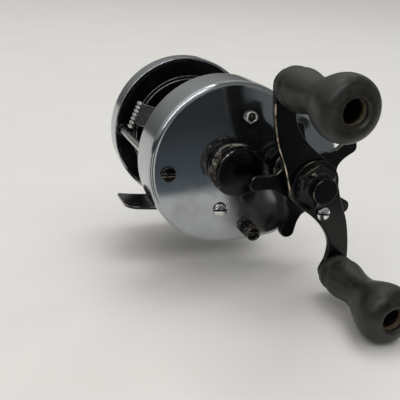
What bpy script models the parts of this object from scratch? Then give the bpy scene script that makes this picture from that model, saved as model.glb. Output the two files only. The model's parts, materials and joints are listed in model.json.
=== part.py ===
"""Round baitcasting reel: two side covers on a pillared frame, an open spool between them, a
star drag and a two-knob crank on the right-hand side, a level wind at the front and a foot.

Metres, +Z up. The origin is the middle of the foot's underside, +X points along the spool's
axis to the handle side and +Y points forward, the way the line leaves.
"""
import math

import bmesh
import bpy
from mathutils import Matrix, Vector

MM = 0.001

# ---------------------------------------------------------------- driving dimensions (mm)
SPOOL_HEIGHT = 24.5          # spool axis above the foot's underside
COVER_RADIUS = 29.0
COVER_WALL = 1.2
COVER_CORNER = 1.8
PLATE_THICKNESS = 2.0
GAP = 0.3                    # clearance between neighbouring solids
FRAME_HALF = 17.0            # inner faces of both frame plates, from the middle
RIM_HALF = 16.7              # open rims of both covers
RIGHT_FACE = 31.5            # outer face of the handle-side cover
LEFT_FACE = -25.5            # outer face of the far cover
PLATE_INSET = 1.5            # frame plates sit inside the covers' walls
SPOOL_RADIUS = 22.6
SHAFT_RADIUS = 1.5

SPOOL = (0.0, SPOOL_HEIGHT)                     # (y, z) of the spool's axis
CRANK = (20.6, SPOOL_HEIGHT - 0.76)             # (y, z) of the crank's axis
CENTRES = math.hypot(CRANK[0], CRANK[1] - SPOOL_HEIGHT)
GEAR_BULGE = (22.7, -2.4)                       # centre of the cover's front bulge, from the spool
SCREW_BULGE = (13.6, -8.1)
BULGE_RADIUS = 20.0

MAIN_TEETH, PINION_TEETH = 50, 11
WIND_TEETH, WORM_TEETH = 30, 20
RATCHET_TEETH = 16

WORM = (25.5 * math.cos(math.radians(-34.3)), SPOOL_HEIGHT + 25.5 * math.sin(math.radians(-34.3)))
GUIDE_ROD = (25.0, SPOOL_HEIGHT + 6.6)
LOWER_PILLARS = ((-15.6, SPOOL_HEIGHT - 19.6), (15.6, SPOOL_HEIGHT - 19.6))

ARM_ANGLE = 110.9            # upper knob's direction from the crank, degrees from +Y to +Z
ARM_LENGTH = 34.6
STAR_ANGLE = 37.0
STAR_ARMS = 5
STAR_REACH = 20.9

# ---------------------------------------------------------------- scene and materials
for old in list(bpy.data.objects):
    bpy.data.objects.remove(old, do_unlink=True)

PARTS = bpy.data.collections.new("baitcasting_reel")
CUTTERS = bpy.data.collections.new("cutters")
for group in (PARTS, CUTTERS):
    bpy.context.scene.collection.children.link(group)


def material(name, colour, roughness, metallic):
    """A Principled material in one colour."""
    made = bpy.data.materials.new(name)
    made.use_nodes = True
    shader = made.node_tree.nodes["Principled BSDF"]
    shader.inputs["Base Color"].default_value = (*colour, 1.0)
    shader.inputs["Roughness"].default_value = roughness
    shader.inputs["Metallic"].default_value = metallic
    return made


POLISHED = material("polished_cover", (0.62, 0.63, 0.64), 0.12, 1.0)
CHROME = material("chrome", (0.78, 0.78, 0.78), 0.10, 1.0)
STEEL = material("steel", (0.50, 0.50, 0.50), 0.28, 1.0)
BRASS = material("brass", (0.66, 0.48, 0.20), 0.30, 1.0)
BLACK_METAL = material("black_metal", (0.018, 0.018, 0.020), 0.30, 0.6)
BLACK_FRAME = material("black_frame", (0.012, 0.012, 0.014), 0.38, 0.3)
DARK_STEEL = material("dark_steel", (0.10, 0.085, 0.07), 0.45, 0.9)
RUBBER = material("rubber", (0.055, 0.050, 0.046), 0.65, 0.0)
FIBRE = material("drag_fibre", (0.16, 0.08, 0.05), 0.80, 0.0)

# Local x, y and z of a piece turned or cut on the reel's axis become world +Y, +Z and +X.
SPINDLE = Matrix(((0, 0, 1, 0), (1, 0, 0, 0), (0, 1, 0, 0), (0, 0, 0, 1)))


def on_axis(centre):
    """Frame of a piece whose axis runs along +X through centre, a (y, z) pair in mm."""
    return Matrix.Translation((0.0, centre[0] * MM, centre[1] * MM)) @ SPINDLE


def along(start, direction):
    """Frame whose local z leaves start, an (x, y, z) in mm, along direction."""
    turn = Vector(direction).to_track_quat("Z", "Y").to_matrix().to_4x4()
    return Matrix.Translation(Vector(start) * MM) @ turn


def keep(obj, finish):
    """Put a finished piece in the parts collection with its material."""
    obj.data.materials.clear()
    obj.data.materials.append(finish)
    PARTS.objects.link(obj)
    return obj


def as_tool(obj):
    """Hide a solid that only cuts or joins another."""
    obj.hide_render = True
    obj.display_type = "WIRE"
    CUTTERS.objects.link(obj)
    return obj


# ---------------------------------------------------------------- shape helpers
def turned(name, profile, frame, steps=16):
    """Turn a (radius, height) profile in mm, listed from the top down its outer side.

    A profile that starts and ends on the axis makes a solid, any other is closed to a ring.
    """
    mesh = bpy.data.meshes.new(name)
    points = [(radius * MM, 0.0, height * MM) for radius, height in profile]
    edges = [(i, i + 1) for i in range(len(points) - 1)]
    if profile[0][0] > 0.0:
        edges.append((len(points) - 1, 0))
    mesh.from_pydata(points, edges, [])
    obj = bpy.data.objects.new(name, mesh)
    obj.matrix_world = frame
    screw = obj.modifiers.new("turn", "SCREW")
    screw.axis = "Z"
    screw.angle = 2.0 * math.pi
    screw.steps = steps
    screw.render_steps = steps
    screw.use_merge_vertices = True
    screw.merge_threshold = 0.00001
    screw.use_smooth_shade = True
    return obj


def rod(name, radius, low, high, frame, steps=12):
    """A plain round rod with small chamfers."""
    edge = min(0.25, 0.3 * radius)
    profile = [(0.0, high), (radius - edge, high), (radius, high - edge)]
    profile += [(radius, low + edge), (radius - edge, low), (0.0, low)]
    return turned(name, profile, frame, steps)


def ring(name, outer, inner, low, high, frame, steps=16):
    """A plain washer, bush or tube."""
    return turned(name, [(outer, high), (outer, low), (inner, low), (inner, high)], frame, steps)


def slab(name, loops, low, high, frame, resolution=0):
    """Extrude closed outlines in mm from low to high; inner loops are holes.

    With a resolution the loops are smooth curves through their points.
    """
    curve = bpy.data.curves.new(name, "CURVE")
    curve.dimensions = "2D"
    curve.fill_mode = "BOTH"
    curve.extrude = (high - low) / 2.0 * MM
    for loop in loops:
        spline = curve.splines.new("BEZIER" if resolution else "POLY")
        points = spline.bezier_points if resolution else spline.points
        points.add(len(loop) - 1)
        for point, (u, v) in zip(points, loop):
            if resolution:
                point.co = (u * MM, v * MM, 0.0)
                point.handle_left_type = "AUTO"
                point.handle_right_type = "AUTO"
            else:
                point.co = (u * MM, v * MM, 0.0, 1.0)
        spline.use_cyclic_u = True
        spline.resolution_u = max(1, resolution)
    shape = bpy.data.objects.new(name, curve)
    PARTS.objects.link(shape)
    bpy.context.view_layer.update()
    evaluated = shape.evaluated_get(bpy.context.evaluated_depsgraph_get())
    mesh = bpy.data.meshes.new_from_object(evaluated)
    bpy.data.objects.remove(shape)
    bpy.data.curves.remove(curve)
    cage = bmesh.new()
    cage.from_mesh(mesh)
    bmesh.ops.remove_doubles(cage, verts=cage.verts, dist=0.000001)
    bmesh.ops.translate(cage, verts=cage.verts, vec=(0.0, 0.0, (low + high) / 2.0 * MM))
    bmesh.ops.recalc_face_normals(cage, faces=cage.faces)
    cage.to_mesh(mesh)
    cage.free()
    mesh.name = name
    obj = bpy.data.objects.new(name, mesh)
    obj.matrix_world = frame
    return obj


def block(name, low, high, frame=Matrix.Identity(4)):
    """A box between two (x, y, z) corners in mm of its frame."""
    mesh = bpy.data.meshes.new(name)
    cage = bmesh.new()
    bmesh.ops.create_cube(cage, size=1.0)
    size = [(b - a) * MM for a, b in zip(low, high)]
    middle = [(a + b) / 2.0 * MM for a, b in zip(low, high)]
    bmesh.ops.scale(cage, verts=cage.verts, vec=size)
    bmesh.ops.translate(cage, verts=cage.verts, vec=middle)
    cage.to_mesh(mesh)
    cage.free()
    obj = bpy.data.objects.new(name, mesh)
    obj.matrix_world = frame
    return obj


def combine(obj, operation, *others):
    """Cut others from a piece (DIFFERENCE) or join them to it (UNION)."""
    for other in others:
        step = obj.modifiers.new(operation.lower(), "BOOLEAN")
        step.operation = operation
        step.solver = "EXACT"
        step.object = as_tool(other)
    return obj


def drill(obj, radius, low, high, *frames, steps=12):
    """Cut round holes from low to high along each frame's local z."""
    tools = [turned("drill", [(0.0, high), (radius, high), (radius, low), (0.0, low)], frame, steps)
             for frame in frames]
    return combine(obj, "DIFFERENCE", *tools)


def circle(radius, centre=(0.0, 0.0), count=16):
    """Points of a circle."""
    angles = [2.0 * math.pi * i / count for i in range(count)]
    return [(centre[0] + radius * math.cos(a), centre[1] + radius * math.sin(a)) for a in angles]


def turned_point(point, degrees):
    """A 2D point turned about the origin."""
    a = math.radians(degrees)
    return (point[0] * math.cos(a) - point[1] * math.sin(a),
            point[0] * math.sin(a) + point[1] * math.cos(a))


def cover_outline(inset, count=48):
    """The handle-side outline: a belt around the main circle and the two front bulges."""
    circles = [((0.0, 0.0), COVER_RADIUS), (GEAR_BULGE, BULGE_RADIUS), (SCREW_BULGE, BULGE_RADIUS)]
    points = []
    for i in range(count):
        nx, ny = turned_point((1.0, 0.0), 360.0 * i / count)
        reach, (cx, cy), radius = max((c[0] * nx + c[1] * ny + r, c, r) for c, r in circles)
        points.append((cx + (radius - inset) * nx, cy + (radius - inset) * ny))
    return points


def gear_outline(teeth, pitch, module, phase, backlash=0.16, flank=2):
    """Involute gear outline; phase is the angle of one tooth's middle in degrees."""
    base = pitch * math.cos(math.radians(20.0))
    inv_pitch = math.tan(math.radians(20.0)) - math.radians(20.0)
    half_pitch = (math.pi * pitch / teeth - backlash) / 2.0 / pitch
    root, tip = pitch - 1.20 * module, pitch + 0.90 * module

    def half_angle(radius):
        pressure = math.acos(min(1.0, base / radius))
        return half_pitch + inv_pitch - (math.tan(pressure) - pressure)

    radii = [root + (tip - root) * (i / (flank - 1)) ** 0.8 for i in range(flank)]
    points = []
    for tooth in range(teeth):
        middle = math.radians(phase) + 2.0 * math.pi * tooth / teeth
        side = [(r, half_angle(max(r, base))) for r in radii]
        flanks = [(r, -h) for r, h in side] + [(r, h) for r, h in reversed(side)]
        points += [(r * math.cos(middle + h), r * math.sin(middle + h)) for r, h in flanks]
    return points


def mesh_angle(centre, other):
    """Direction from one axis to another in degrees."""
    return math.degrees(math.atan2(other[1] - centre[1], other[0] - centre[0]))


def at_spool(u, v):
    """(y, z) of a point given from the spool's axis."""
    return (SPOOL[0] + u, SPOOL[1] + v)


AT_SPOOL = on_axis(SPOOL)
AT_CRANK = on_axis(CRANK)
AT_WORM = on_axis(WORM)

# ---------------------------------------------------------------- places shared by several parts
RIGHT_SCREWS = {"cover_screw_rear": (-22.5, -1.8), "cover_screw_lower": (-2.8, -15.8),
                "takedown_thumbscrew": (8.9, -24.2)}
EYELET = (5.7, 16.9)
LEFT_SCREWS = [turned_point((20.0, 0.0), angle) for angle in (60.0, 240.0)]
YOKE_POSTS = ((-2.5, 8.0), (-2.5, -8.0))
DOG_POST = (11.6, -12.0)
DOG_CLEAR = 8.0              # degrees that the dog stands back from the ratchet's notch
SCREW_HOLE = 1.3


# ---------------------------------------------------------------- frame
def build_left_plate():
    """Far frame plate: a disc with the hub that holds the spool's left bearing."""
    outer = COVER_RADIUS - PLATE_INSET
    inner_face, outer_face = -FRAME_HALF, -FRAME_HALF - PLATE_THICKNESS
    profile = [(outer, inner_face), (outer, outer_face), (6.5, outer_face), (6.5, -22.4)]
    profile += [(4.3, -22.4), (4.3, -18.4), (2.1, -18.4), (2.1, inner_face)]
    plate = turned("left_frame_plate", profile, AT_SPOOL, 40)
    holes = [on_axis(at_spool(*place)) for place in LEFT_SCREWS]
    drill(plate, SCREW_HOLE, -20.0, -16.0, *holes)
    drill(plate, 1.5, -20.0, -16.0, AT_WORM)
    keep(plate, BLACK_FRAME)


def build_right_plate():
    """Handle-side frame plate, bulged like its cover, with a rim notch for the thumb bar."""
    holes = [circle(5.4, count=20), circle(2.6, (CRANK[0], CRANK[1] - SPOOL[1]))]
    holes.append(circle(1.5, (WORM[0], WORM[1] - SPOOL[1]), 12))
    holes += [circle(SCREW_HOLE, place, 12) for place in RIGHT_SCREWS.values()]
    outline = cover_outline(PLATE_INSET)
    plate = slab("right_frame_plate", [outline] + holes, FRAME_HALF,
                 FRAME_HALF + PLATE_THICKNESS, AT_SPOOL)
    arc = [140.0 + 27.5 * i / 6 for i in range(7)]
    notch = [turned_point((25.1, 0.0), a) for a in arc]
    notch += [turned_point((31.0, 0.0), a) for a in reversed(arc)]
    combine(plate, "DIFFERENCE", slab("notch", [notch], FRAME_HALF - 1.0, 20.0, AT_SPOOL))
    keep(plate, BLACK_FRAME)


def build_pillars():
    """Cross pillars: two slim bright ones and two stout ones over the foot."""
    slim = {"pillar_rear": turned_point((26.0, 0.0), 178.0),
            "pillar_top_front": turned_point((26.0, 0.0), 52.0)}
    for name, place in slim.items():
        profile = [(0.0, RIM_HALF), (1.45, RIM_HALF), (1.45, 15.2), (1.25, 14.9)]
        profile += [(radius, -height) for radius, height in reversed(profile)]
        keep(turned(name, profile, on_axis(at_spool(*place)), 16), STEEL)
    for name, place in zip(("pillar_lower_rear", "pillar_lower_front"), LOWER_PILLARS):
        pillar = rod(name, 1.9, -RIM_HALF, RIM_HALF, on_axis(place))
        drill(pillar, 1.2, 2.0, 5.7, Matrix.Translation((0.0, place[0] * MM, 0.0)))
        keep(pillar, STEEL)


def build_foot():
    """Seat plate under the lower pillars, with rounded tips that thin out."""
    length, width, corner = 30.0, 7.5, 5.5
    quarter = [(width, y) for y in (0.0, 10.0, 20.0)]
    for i in range(6):
        a = math.radians(90.0 * i / 5)
        quarter.append((width - corner + corner * math.cos(a),
                        length - corner + corner * math.sin(a)))
    right = [(x, -y) for x, y in reversed(quarter[1:])] + quarter
    outline = right + [(-x, y) for x, y in reversed(right)]
    foot = slab("foot", [outline], 0.0, 2.7, Matrix.Identity(4))
    for vertex in foot.data.vertices:
        if vertex.co.z > MM:
            vertex.co.z -= max(0.0, abs(vertex.co.y) / MM - 20.0) * 0.08 * MM
    places = [Matrix.Translation((0.0, y * MM, 0.0)) for y, z in LOWER_PILLARS]
    drill(foot, 2.3, -1.0, 1.2, *places, steps=16)
    drill(foot, 1.2, 0.5, 4.0, *places)
    keep(foot, BLACK_METAL)
    for name, frame in zip(("foot_rivet_rear", "foot_rivet_front"), places):
        profile = [(0.0, 5.3), (0.9, 5.3), (0.9, 0.9), (2.0, 0.9), (2.0, 0.1), (0.0, 0.1)]
        keep(turned(name, profile, frame, 12), STEEL)


# ---------------------------------------------------------------- covers
def build_left_cover():
    """Far cover: a shallow round cup."""
    outer = COVER_RADIUS
    inner = COVER_RADIUS - COVER_WALL
    inside = LEFT_FACE + COVER_WALL
    profile = [(0.0, inside), (inner - 0.8, inside), (inner, inside + 0.8), (inner, -RIM_HALF)]
    profile += [(outer, -RIM_HALF)]
    for i in range(4):
        a = math.radians(90.0 * i / 3)
        profile.append((outer - COVER_CORNER + COVER_CORNER * math.cos(a),
                        LEFT_FACE + COVER_CORNER - COVER_CORNER * math.sin(a)))
    profile.append((0.0, LEFT_FACE))
    cover = turned("left_cover", profile, AT_SPOOL, 48)
    holes = [on_axis(at_spool(*place)) for place in LEFT_SCREWS]
    drill(cover, SCREW_HOLE, -27.0, -23.0, *holes)
    keep(cover, POLISHED)
    for i, frame in enumerate(holes):
        profile = [(0.0, -17.6), (1.0, -17.6), (1.0, -25.8), (2.1, -25.8), (2.1, -26.5)]
        profile += [(1.5, -26.9), (0.0, -26.9)]
        screw = turned(f"left_cover_screw_{i + 1}", profile, frame, 14)
        combine(screw, "DIFFERENCE", block("slot", (-0.3, -3.0, -28.0), (0.3, 3.0, -26.4), frame))
        keep(screw, CHROME)


def build_right_cover():
    """Handle-side cover: a deep drawn cup with a flat face and a front bulge for the gears."""
    cover = slab("right_cover", [cover_outline(0.0)], RIM_HALF, RIGHT_FACE, AT_SPOOL)
    cage = bmesh.new()
    cage.from_mesh(cover.data)
    bmesh.ops.dissolve_limit(cage, angle_limit=0.01, verts=cage.verts, edges=cage.edges)
    top = RIGHT_FACE * MM
    rim = [e for e in cage.edges if all(abs(v.co.z - top) < 0.00001 for v in e.verts)]
    bmesh.ops.bevel(cage, geom=rim, offset=COVER_CORNER * MM, segments=2, profile=0.5,
                    affect="EDGES")
    cage.to_mesh(cover.data)
    cage.free()
    hollow = slab("hollow", [cover_outline(COVER_WALL)], RIM_HALF - 2.0, RIGHT_FACE - COVER_WALL,
                  AT_SPOOL)
    combine(cover, "DIFFERENCE", hollow)
    drill(cover, 5.7, 28.0, 33.0, AT_SPOOL, steps=20)
    drill(cover, 5.5, 28.0, 33.0, AT_CRANK, steps=20)
    holes = [on_axis(at_spool(*place)) for place in RIGHT_SCREWS.values()]
    drill(cover, 1.4, 28.0, 33.0, *holes)
    drill(cover, 1.8, 28.0, 33.0, on_axis(at_spool(*EYELET)))
    keep(cover, POLISHED)


def slotted_screw(name, place, head, top, shank, finish, slot=0.4):
    """A slotted screw through the handle-side cover into the frame plate."""
    frame = on_axis(at_spool(*place))
    face = RIGHT_FACE + GAP
    profile = [(0.0, top), (head - 0.35, top), (head, top - 0.35), (head, face), (shank, face)]
    profile += [(shank, 17.6), (0.0, 17.6)]
    screw = turned(name, profile, frame, 16)
    depth = 0.55
    cutter = block("slot", (-head - 1.0, -slot, top - depth), (head + 1.0, slot, top + 1.0), frame)
    combine(screw, "DIFFERENCE", cutter)
    keep(screw, finish)


def build_right_fasteners():
    """Everything that shows on the handle-side cover's face."""
    slotted_screw("cover_screw_rear", RIGHT_SCREWS["cover_screw_rear"], 2.6, 33.0, 1.0, DARK_STEEL)
    slotted_screw("cover_screw_lower", RIGHT_SCREWS["cover_screw_lower"], 2.5, 32.8, 1.0, CHROME)
    slotted_screw("takedown_thumbscrew", RIGHT_SCREWS["takedown_thumbscrew"], 2.75, 36.4, 1.0,
                  DARK_STEEL)
    face = RIGHT_FACE + GAP
    profile = [(1.9, face + 0.9), (2.15, face + 0.6), (2.15, face), (1.5, face), (1.5, 19.4)]
    profile += [(0.9, 19.4), (0.9, face + 0.3), (1.4, face + 0.9)]
    keep(turned("cover_eyelet", profile, on_axis(at_spool(*EYELET)), 12), CHROME)


# ---------------------------------------------------------------- spool and clutch
def build_spool():
    """Spool, its shaft, the clutch pin across the shaft and both bearings."""
    lip = SPOOL_RADIUS
    side = [(1.8, 15.4), (5.2, 15.4), (8.4, 13.4), (20.2, 14.2), (21.8, 15.3), (lip, 15.0)]
    side += [(lip, 13.4), (10.0, 12.0), (8.0, 10.6)]
    profile = side + [(radius, -height) for radius, height in reversed(side)]
    keep(turned("spool", profile, AT_SPOOL, 36), BLACK_METAL)

    shaft = rod("spool_shaft", SHAFT_RADIUS, -21.9, 34.6, AT_SPOOL)
    across = along((21.0, SPOOL[0], SPOOL[1]), (0.0, 0.0, 1.0))
    drill(shaft, 0.8, -3.0, 3.0, across, steps=10)
    keep(shaft, STEEL)
    keep(rod("clutch_pin", 0.5, -2.8, 2.8, across, 12), STEEL)

    keep(ring("left_bearing", 4.0, 1.8, -21.4, -18.8, AT_SPOOL), STEEL)
    keep(ring("right_bearing", 4.0, 1.8, 30.9, 33.4, AT_SPOOL), STEEL)
    profile = [(5.4, 36.0), (5.4, 29.7), (2.1, 29.7), (2.1, 30.6), (4.3, 30.6), (4.3, 36.0)]
    keep(turned("bearing_housing", profile, AT_SPOOL), BLACK_METAL)
    profile = [(0.0, 40.0), (7.8, 39.8), (8.3, 39.3), (8.3, 37.9), (8.95, 37.6), (8.95, 32.2)]
    profile += [(8.6, 31.9), (5.8, 31.9), (5.8, 36.4), (0.0, 36.4)]
    keep(turned("tension_knob", profile, AT_SPOOL, 20), BLACK_METAL)


def build_pinion():
    """Pinion with a slotted collar for the clutch pin and a groove for the yoke."""
    profile = [(3.9, 27.7), (3.9, 26.9), (2.6, 26.9), (2.6, 25.5), (2.8, 25.5), (2.8, 21.0)]
    profile += [(3.9, 21.0), (3.9, 20.0), (1.8, 20.0), (1.8, 27.7)]
    pinion = turned("pinion", profile, AT_SPOOL, 16)
    pitch = CENTRES * PINION_TEETH / (MAIN_TEETH + PINION_TEETH)
    phase = mesh_angle(SPOOL, CRANK) + 180.0 / PINION_TEETH
    outline = gear_outline(PINION_TEETH, pitch, 2.0 * pitch / PINION_TEETH, phase, flank=3)
    teeth = slab("teeth", [outline, circle(2.3, count=12)], 22.2, 25.3, AT_SPOOL)
    combine(pinion, "UNION", teeth)
    slot = block("slot", (-0.8, -5.0, 19.0), (0.8, 5.0, 22.0), AT_SPOOL)
    combine(pinion, "DIFFERENCE", slot)
    keep(pinion, BRASS)


def coil(name, place, low, high, radius, wire, turns):
    """A compression spring on a post, as a polyline helix with a round section."""
    curve = bpy.data.curves.new(name, "CURVE")
    curve.dimensions = "3D"
    curve.bevel_depth = wire * MM
    curve.bevel_resolution = 1
    curve.use_fill_caps = True
    spline = curve.splines.new("POLY")
    count = int(turns * 8)
    spline.points.add(count)
    for i, point in enumerate(spline.points):
        angle = 2.0 * math.pi * turns * i / count
        height = low + wire + (high - low - 2.0 * wire) * i / count
        point.co = (radius * math.cos(angle) * MM, radius * math.sin(angle) * MM, height * MM, 1.0)
    obj = bpy.data.objects.new(name, curve)
    obj.matrix_world = on_axis(at_spool(*place))
    return keep(obj, STEEL)


def build_clutch():
    """Yoke that lifts the pinion, on two sprung posts, and the thumb bar that works it."""
    outline = [(-5.5, -9.0), (-4.0, -10.5), (-1.0, -10.5), (2.6, -8.0), (2.6, -2.95), (0.0, -2.95)]
    outline += [turned_point((2.95, 0.0), angle) for angle in (-120, -150, -180, -210, -240)]
    outline += [(0.0, 2.95), (2.6, 2.95), (2.6, 8.0), (-1.0, 10.5), (-4.0, 10.5), (-5.5, 9.0)]
    posts = [circle(1.2, place, 12) for place in YOKE_POSTS]
    keep(slab("clutch_yoke", [outline] + posts, 25.8, 26.6, AT_SPOOL), STEEL)
    for label, place in zip(("upper", "lower"), YOKE_POSTS):
        keep(rod(f"yoke_post_{label}", 0.9, 19.3, 29.9, on_axis(at_spool(*place)), 12), STEEL)
        coil(f"yoke_spring_{label}", place, 26.9, 30.0, 1.6, 0.28, 2.5)


def build_thumb_bar():
    """Free-spool bar: a tongue through the plate's notch that flares into a beaded end."""
    sections = [(21.6, (-20.9, 16.4), (-24.6, 9.9)), (16.4, (-20.9, 16.4), (-24.6, 9.9)),
                (6.9, (-25.6, 16.7), (-28.0, 9.6))]
    rows = 4
    mesh = bpy.data.meshes.new("thumb_bar")
    cage = bmesh.new()
    grid = []
    for x, upper, lower in sections:
        line = []
        for i in range(rows):
            t = i / (rows - 1)
            y = SPOOL[0] + upper[0] + (lower[0] - upper[0]) * t
            z = SPOOL[1] + upper[1] + (lower[1] - upper[1]) * t
            line.append(cage.verts.new((x * MM, y * MM, z * MM)))
        grid.append(line)
    for a, b in zip(grid, grid[1:]):
        for i in range(rows - 1):
            cage.faces.new((a[i], a[i + 1], b[i + 1], b[i]))
    cage.to_mesh(mesh)
    cage.free()
    bar = bpy.data.objects.new("thumb_bar", mesh)
    shell = bar.modifiers.new("thickness", "SOLIDIFY")
    shell.thickness = 1.2 * MM
    shell.offset = 0.0
    beads, pitch = 7, 1.5
    profile = [(0.0, 0.0)]
    for i in range(beads):
        low = -i * pitch
        profile += [(0.75, low), (1.0, low - 0.5 * pitch)]
    profile += [(0.75, -beads * pitch), (0.0, -beads * pitch)]
    top, bottom = Vector((6.4, -25.6, 17.0)), Vector((6.4, -29.3, 7.6))
    frame = along(top + Vector((0.0, SPOOL[0], SPOOL[1])), top - bottom)
    combine(bar, "UNION", turned("beads", profile, frame, 10))
    keep(bar, STEEL)


# ---------------------------------------------------------------- drive train on the crank's axis
def build_drive():
    """Main gear, ratchet and its dog, level-wind drive gear, drag stack and drive shaft."""
    pitch = CENTRES * MAIN_TEETH / (MAIN_TEETH + PINION_TEETH)
    outline = gear_outline(MAIN_TEETH, pitch, 2.0 * pitch / MAIN_TEETH, mesh_angle(CRANK, SPOOL))
    keep(slab("main_gear", [outline, circle(2.6)], 22.8, 25.4, AT_CRANK), BRASS)

    distance = math.hypot(WORM[0] - CRANK[0], WORM[1] - CRANK[1])
    share = distance / (WIND_TEETH + WORM_TEETH)
    outline = gear_outline(WIND_TEETH, share * WIND_TEETH, 2.0 * share, mesh_angle(CRANK, WORM))
    keep(slab("wind_drive_gear", [outline, circle(2.6)], 19.4, 20.8, AT_CRANK), BRASS)
    phase = mesh_angle(WORM, CRANK) + 180.0 / WORM_TEETH
    outline = gear_outline(WORM_TEETH, share * WORM_TEETH, 2.0 * share, phase)
    keep(slab("worm_gear", [outline, circle(1.5, count=12)], 19.4, 20.8, AT_WORM), BLACK_FRAME)

    outline = []
    step = 360.0 / RATCHET_TEETH
    for i in range(RATCHET_TEETH):
        notch = 199.5 + i * step
        outline.append(turned_point((7.0, 0.0), notch - 0.28 * step))
        outline.append(turned_point((7.0, 0.0), notch + 0.22 * step))
        outline.append(turned_point((8.2, 0.0), notch + 0.34 * step))
    keep(slab("ratchet_wheel", [outline, circle(2.6)], 21.1, 22.3, AT_CRANK), STEEL)

    keep(ring("drag_washer_inner", 11.0, 2.7, 25.7, 26.3, AT_CRANK), FIBRE)
    keep(ring("drag_washer_metal", 11.0, 2.7, 26.6, 27.1, AT_CRANK), STEEL)
    keep(ring("drag_washer_outer", 11.0, 2.7, 27.4, 28.0, AT_CRANK), FIBRE)
    keep(ring("drag_pressure_plate", 9.0, 2.7, 28.3, 29.3, AT_CRANK), STEEL)
    profile = [(0.0, 58.0), (1.9, 58.0), (1.9, 49.9), (2.3, 49.6), (2.3, 17.3), (0.0, 17.3)]
    keep(turned("drive_shaft", profile, AT_CRANK, 20), STEEL)

    profile = [(4.6, 34.4), (5.0, 34.0), (5.0, 33.2), (6.9, 33.0), (7.2, 32.7), (7.2, 31.8)]
    profile += [(5.2, 31.8), (5.2, 29.8), (2.6, 29.8), (2.6, 34.4)]
    keep(turned("cover_bushing", profile, AT_CRANK, 16), BLACK_METAL)


def build_dog():
    """Anti-reverse dog, held clear of the ratchet as when winding in, and its post."""
    tip_from_post = (13.35 - DOG_POST[0], -3.2 - DOG_POST[1])
    dropped = [(1.7, -1.0), (1.9, 0.6), (1.5, 3.5), (1.15, 7.2), tip_from_post, (1.2, 9.4)]
    dropped += [(-0.6, 8.6), (-1.7, 1.5), (-1.9, 0.0), (-1.2, -1.5), (0.3, -2.0)]
    outline = [turned_point(point, DOG_CLEAR) for point in dropped]
    frame = on_axis(at_spool(*DOG_POST))
    keep(slab("anti_reverse_dog", [outline, circle(1.3, count=12)], 21.1, 22.2, frame), STEEL)
    keep(rod("dog_post", 1.0, 19.3, 22.5, frame, 12), STEEL)


def build_star():
    """Star drag: a knurled spacer, then a long hub that carries a five-armed star."""
    profile = [(2.7, 35.7), (5.8, 35.2), (5.8, 34.8), (2.7, 35.3)]
    keep(turned("spring_washer", profile, AT_CRANK), STEEL)
    keep(ring("star_spacer", 4.8, 2.7, 36.0, 38.8, AT_CRANK), BLACK_METAL)
    profile = [(4.8, 48.4), (5.4, 47.9), (6.4, 46.6), (6.4, 40.0), (5.8, 39.2), (2.7, 39.2)]
    profile.append((2.7, 48.4))
    hub = turned("star_drag", profile, AT_CRANK, 20)
    tip = 2.7
    side = [(10.0, 4.4), (11.6, 3.0), (14.0, 2.35), (16.6, 2.4)]
    arm = [(u, -v) for u, v in side]
    arm += [(STAR_REACH - tip + tip * math.cos(a), tip * math.sin(a))
            for a in (math.radians(-75.0 + 30.0 * i) for i in range(6))]
    arm += [(u, v) for u, v in reversed(side)]
    outline = []
    for k in range(STAR_ARMS):
        outline += [turned_point(point, STAR_ANGLE + 360.0 * k / STAR_ARMS) for point in arm]
        outline.append(turned_point((9.3, 0.0), STAR_ANGLE + 360.0 * (k + 0.5) / STAR_ARMS))
    arms = slab("arms", [outline, circle(3.4)], 45.7, 47.9, AT_CRANK)
    combine(hub, "UNION", arms)
    keep(hub, BLACK_METAL)


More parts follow.
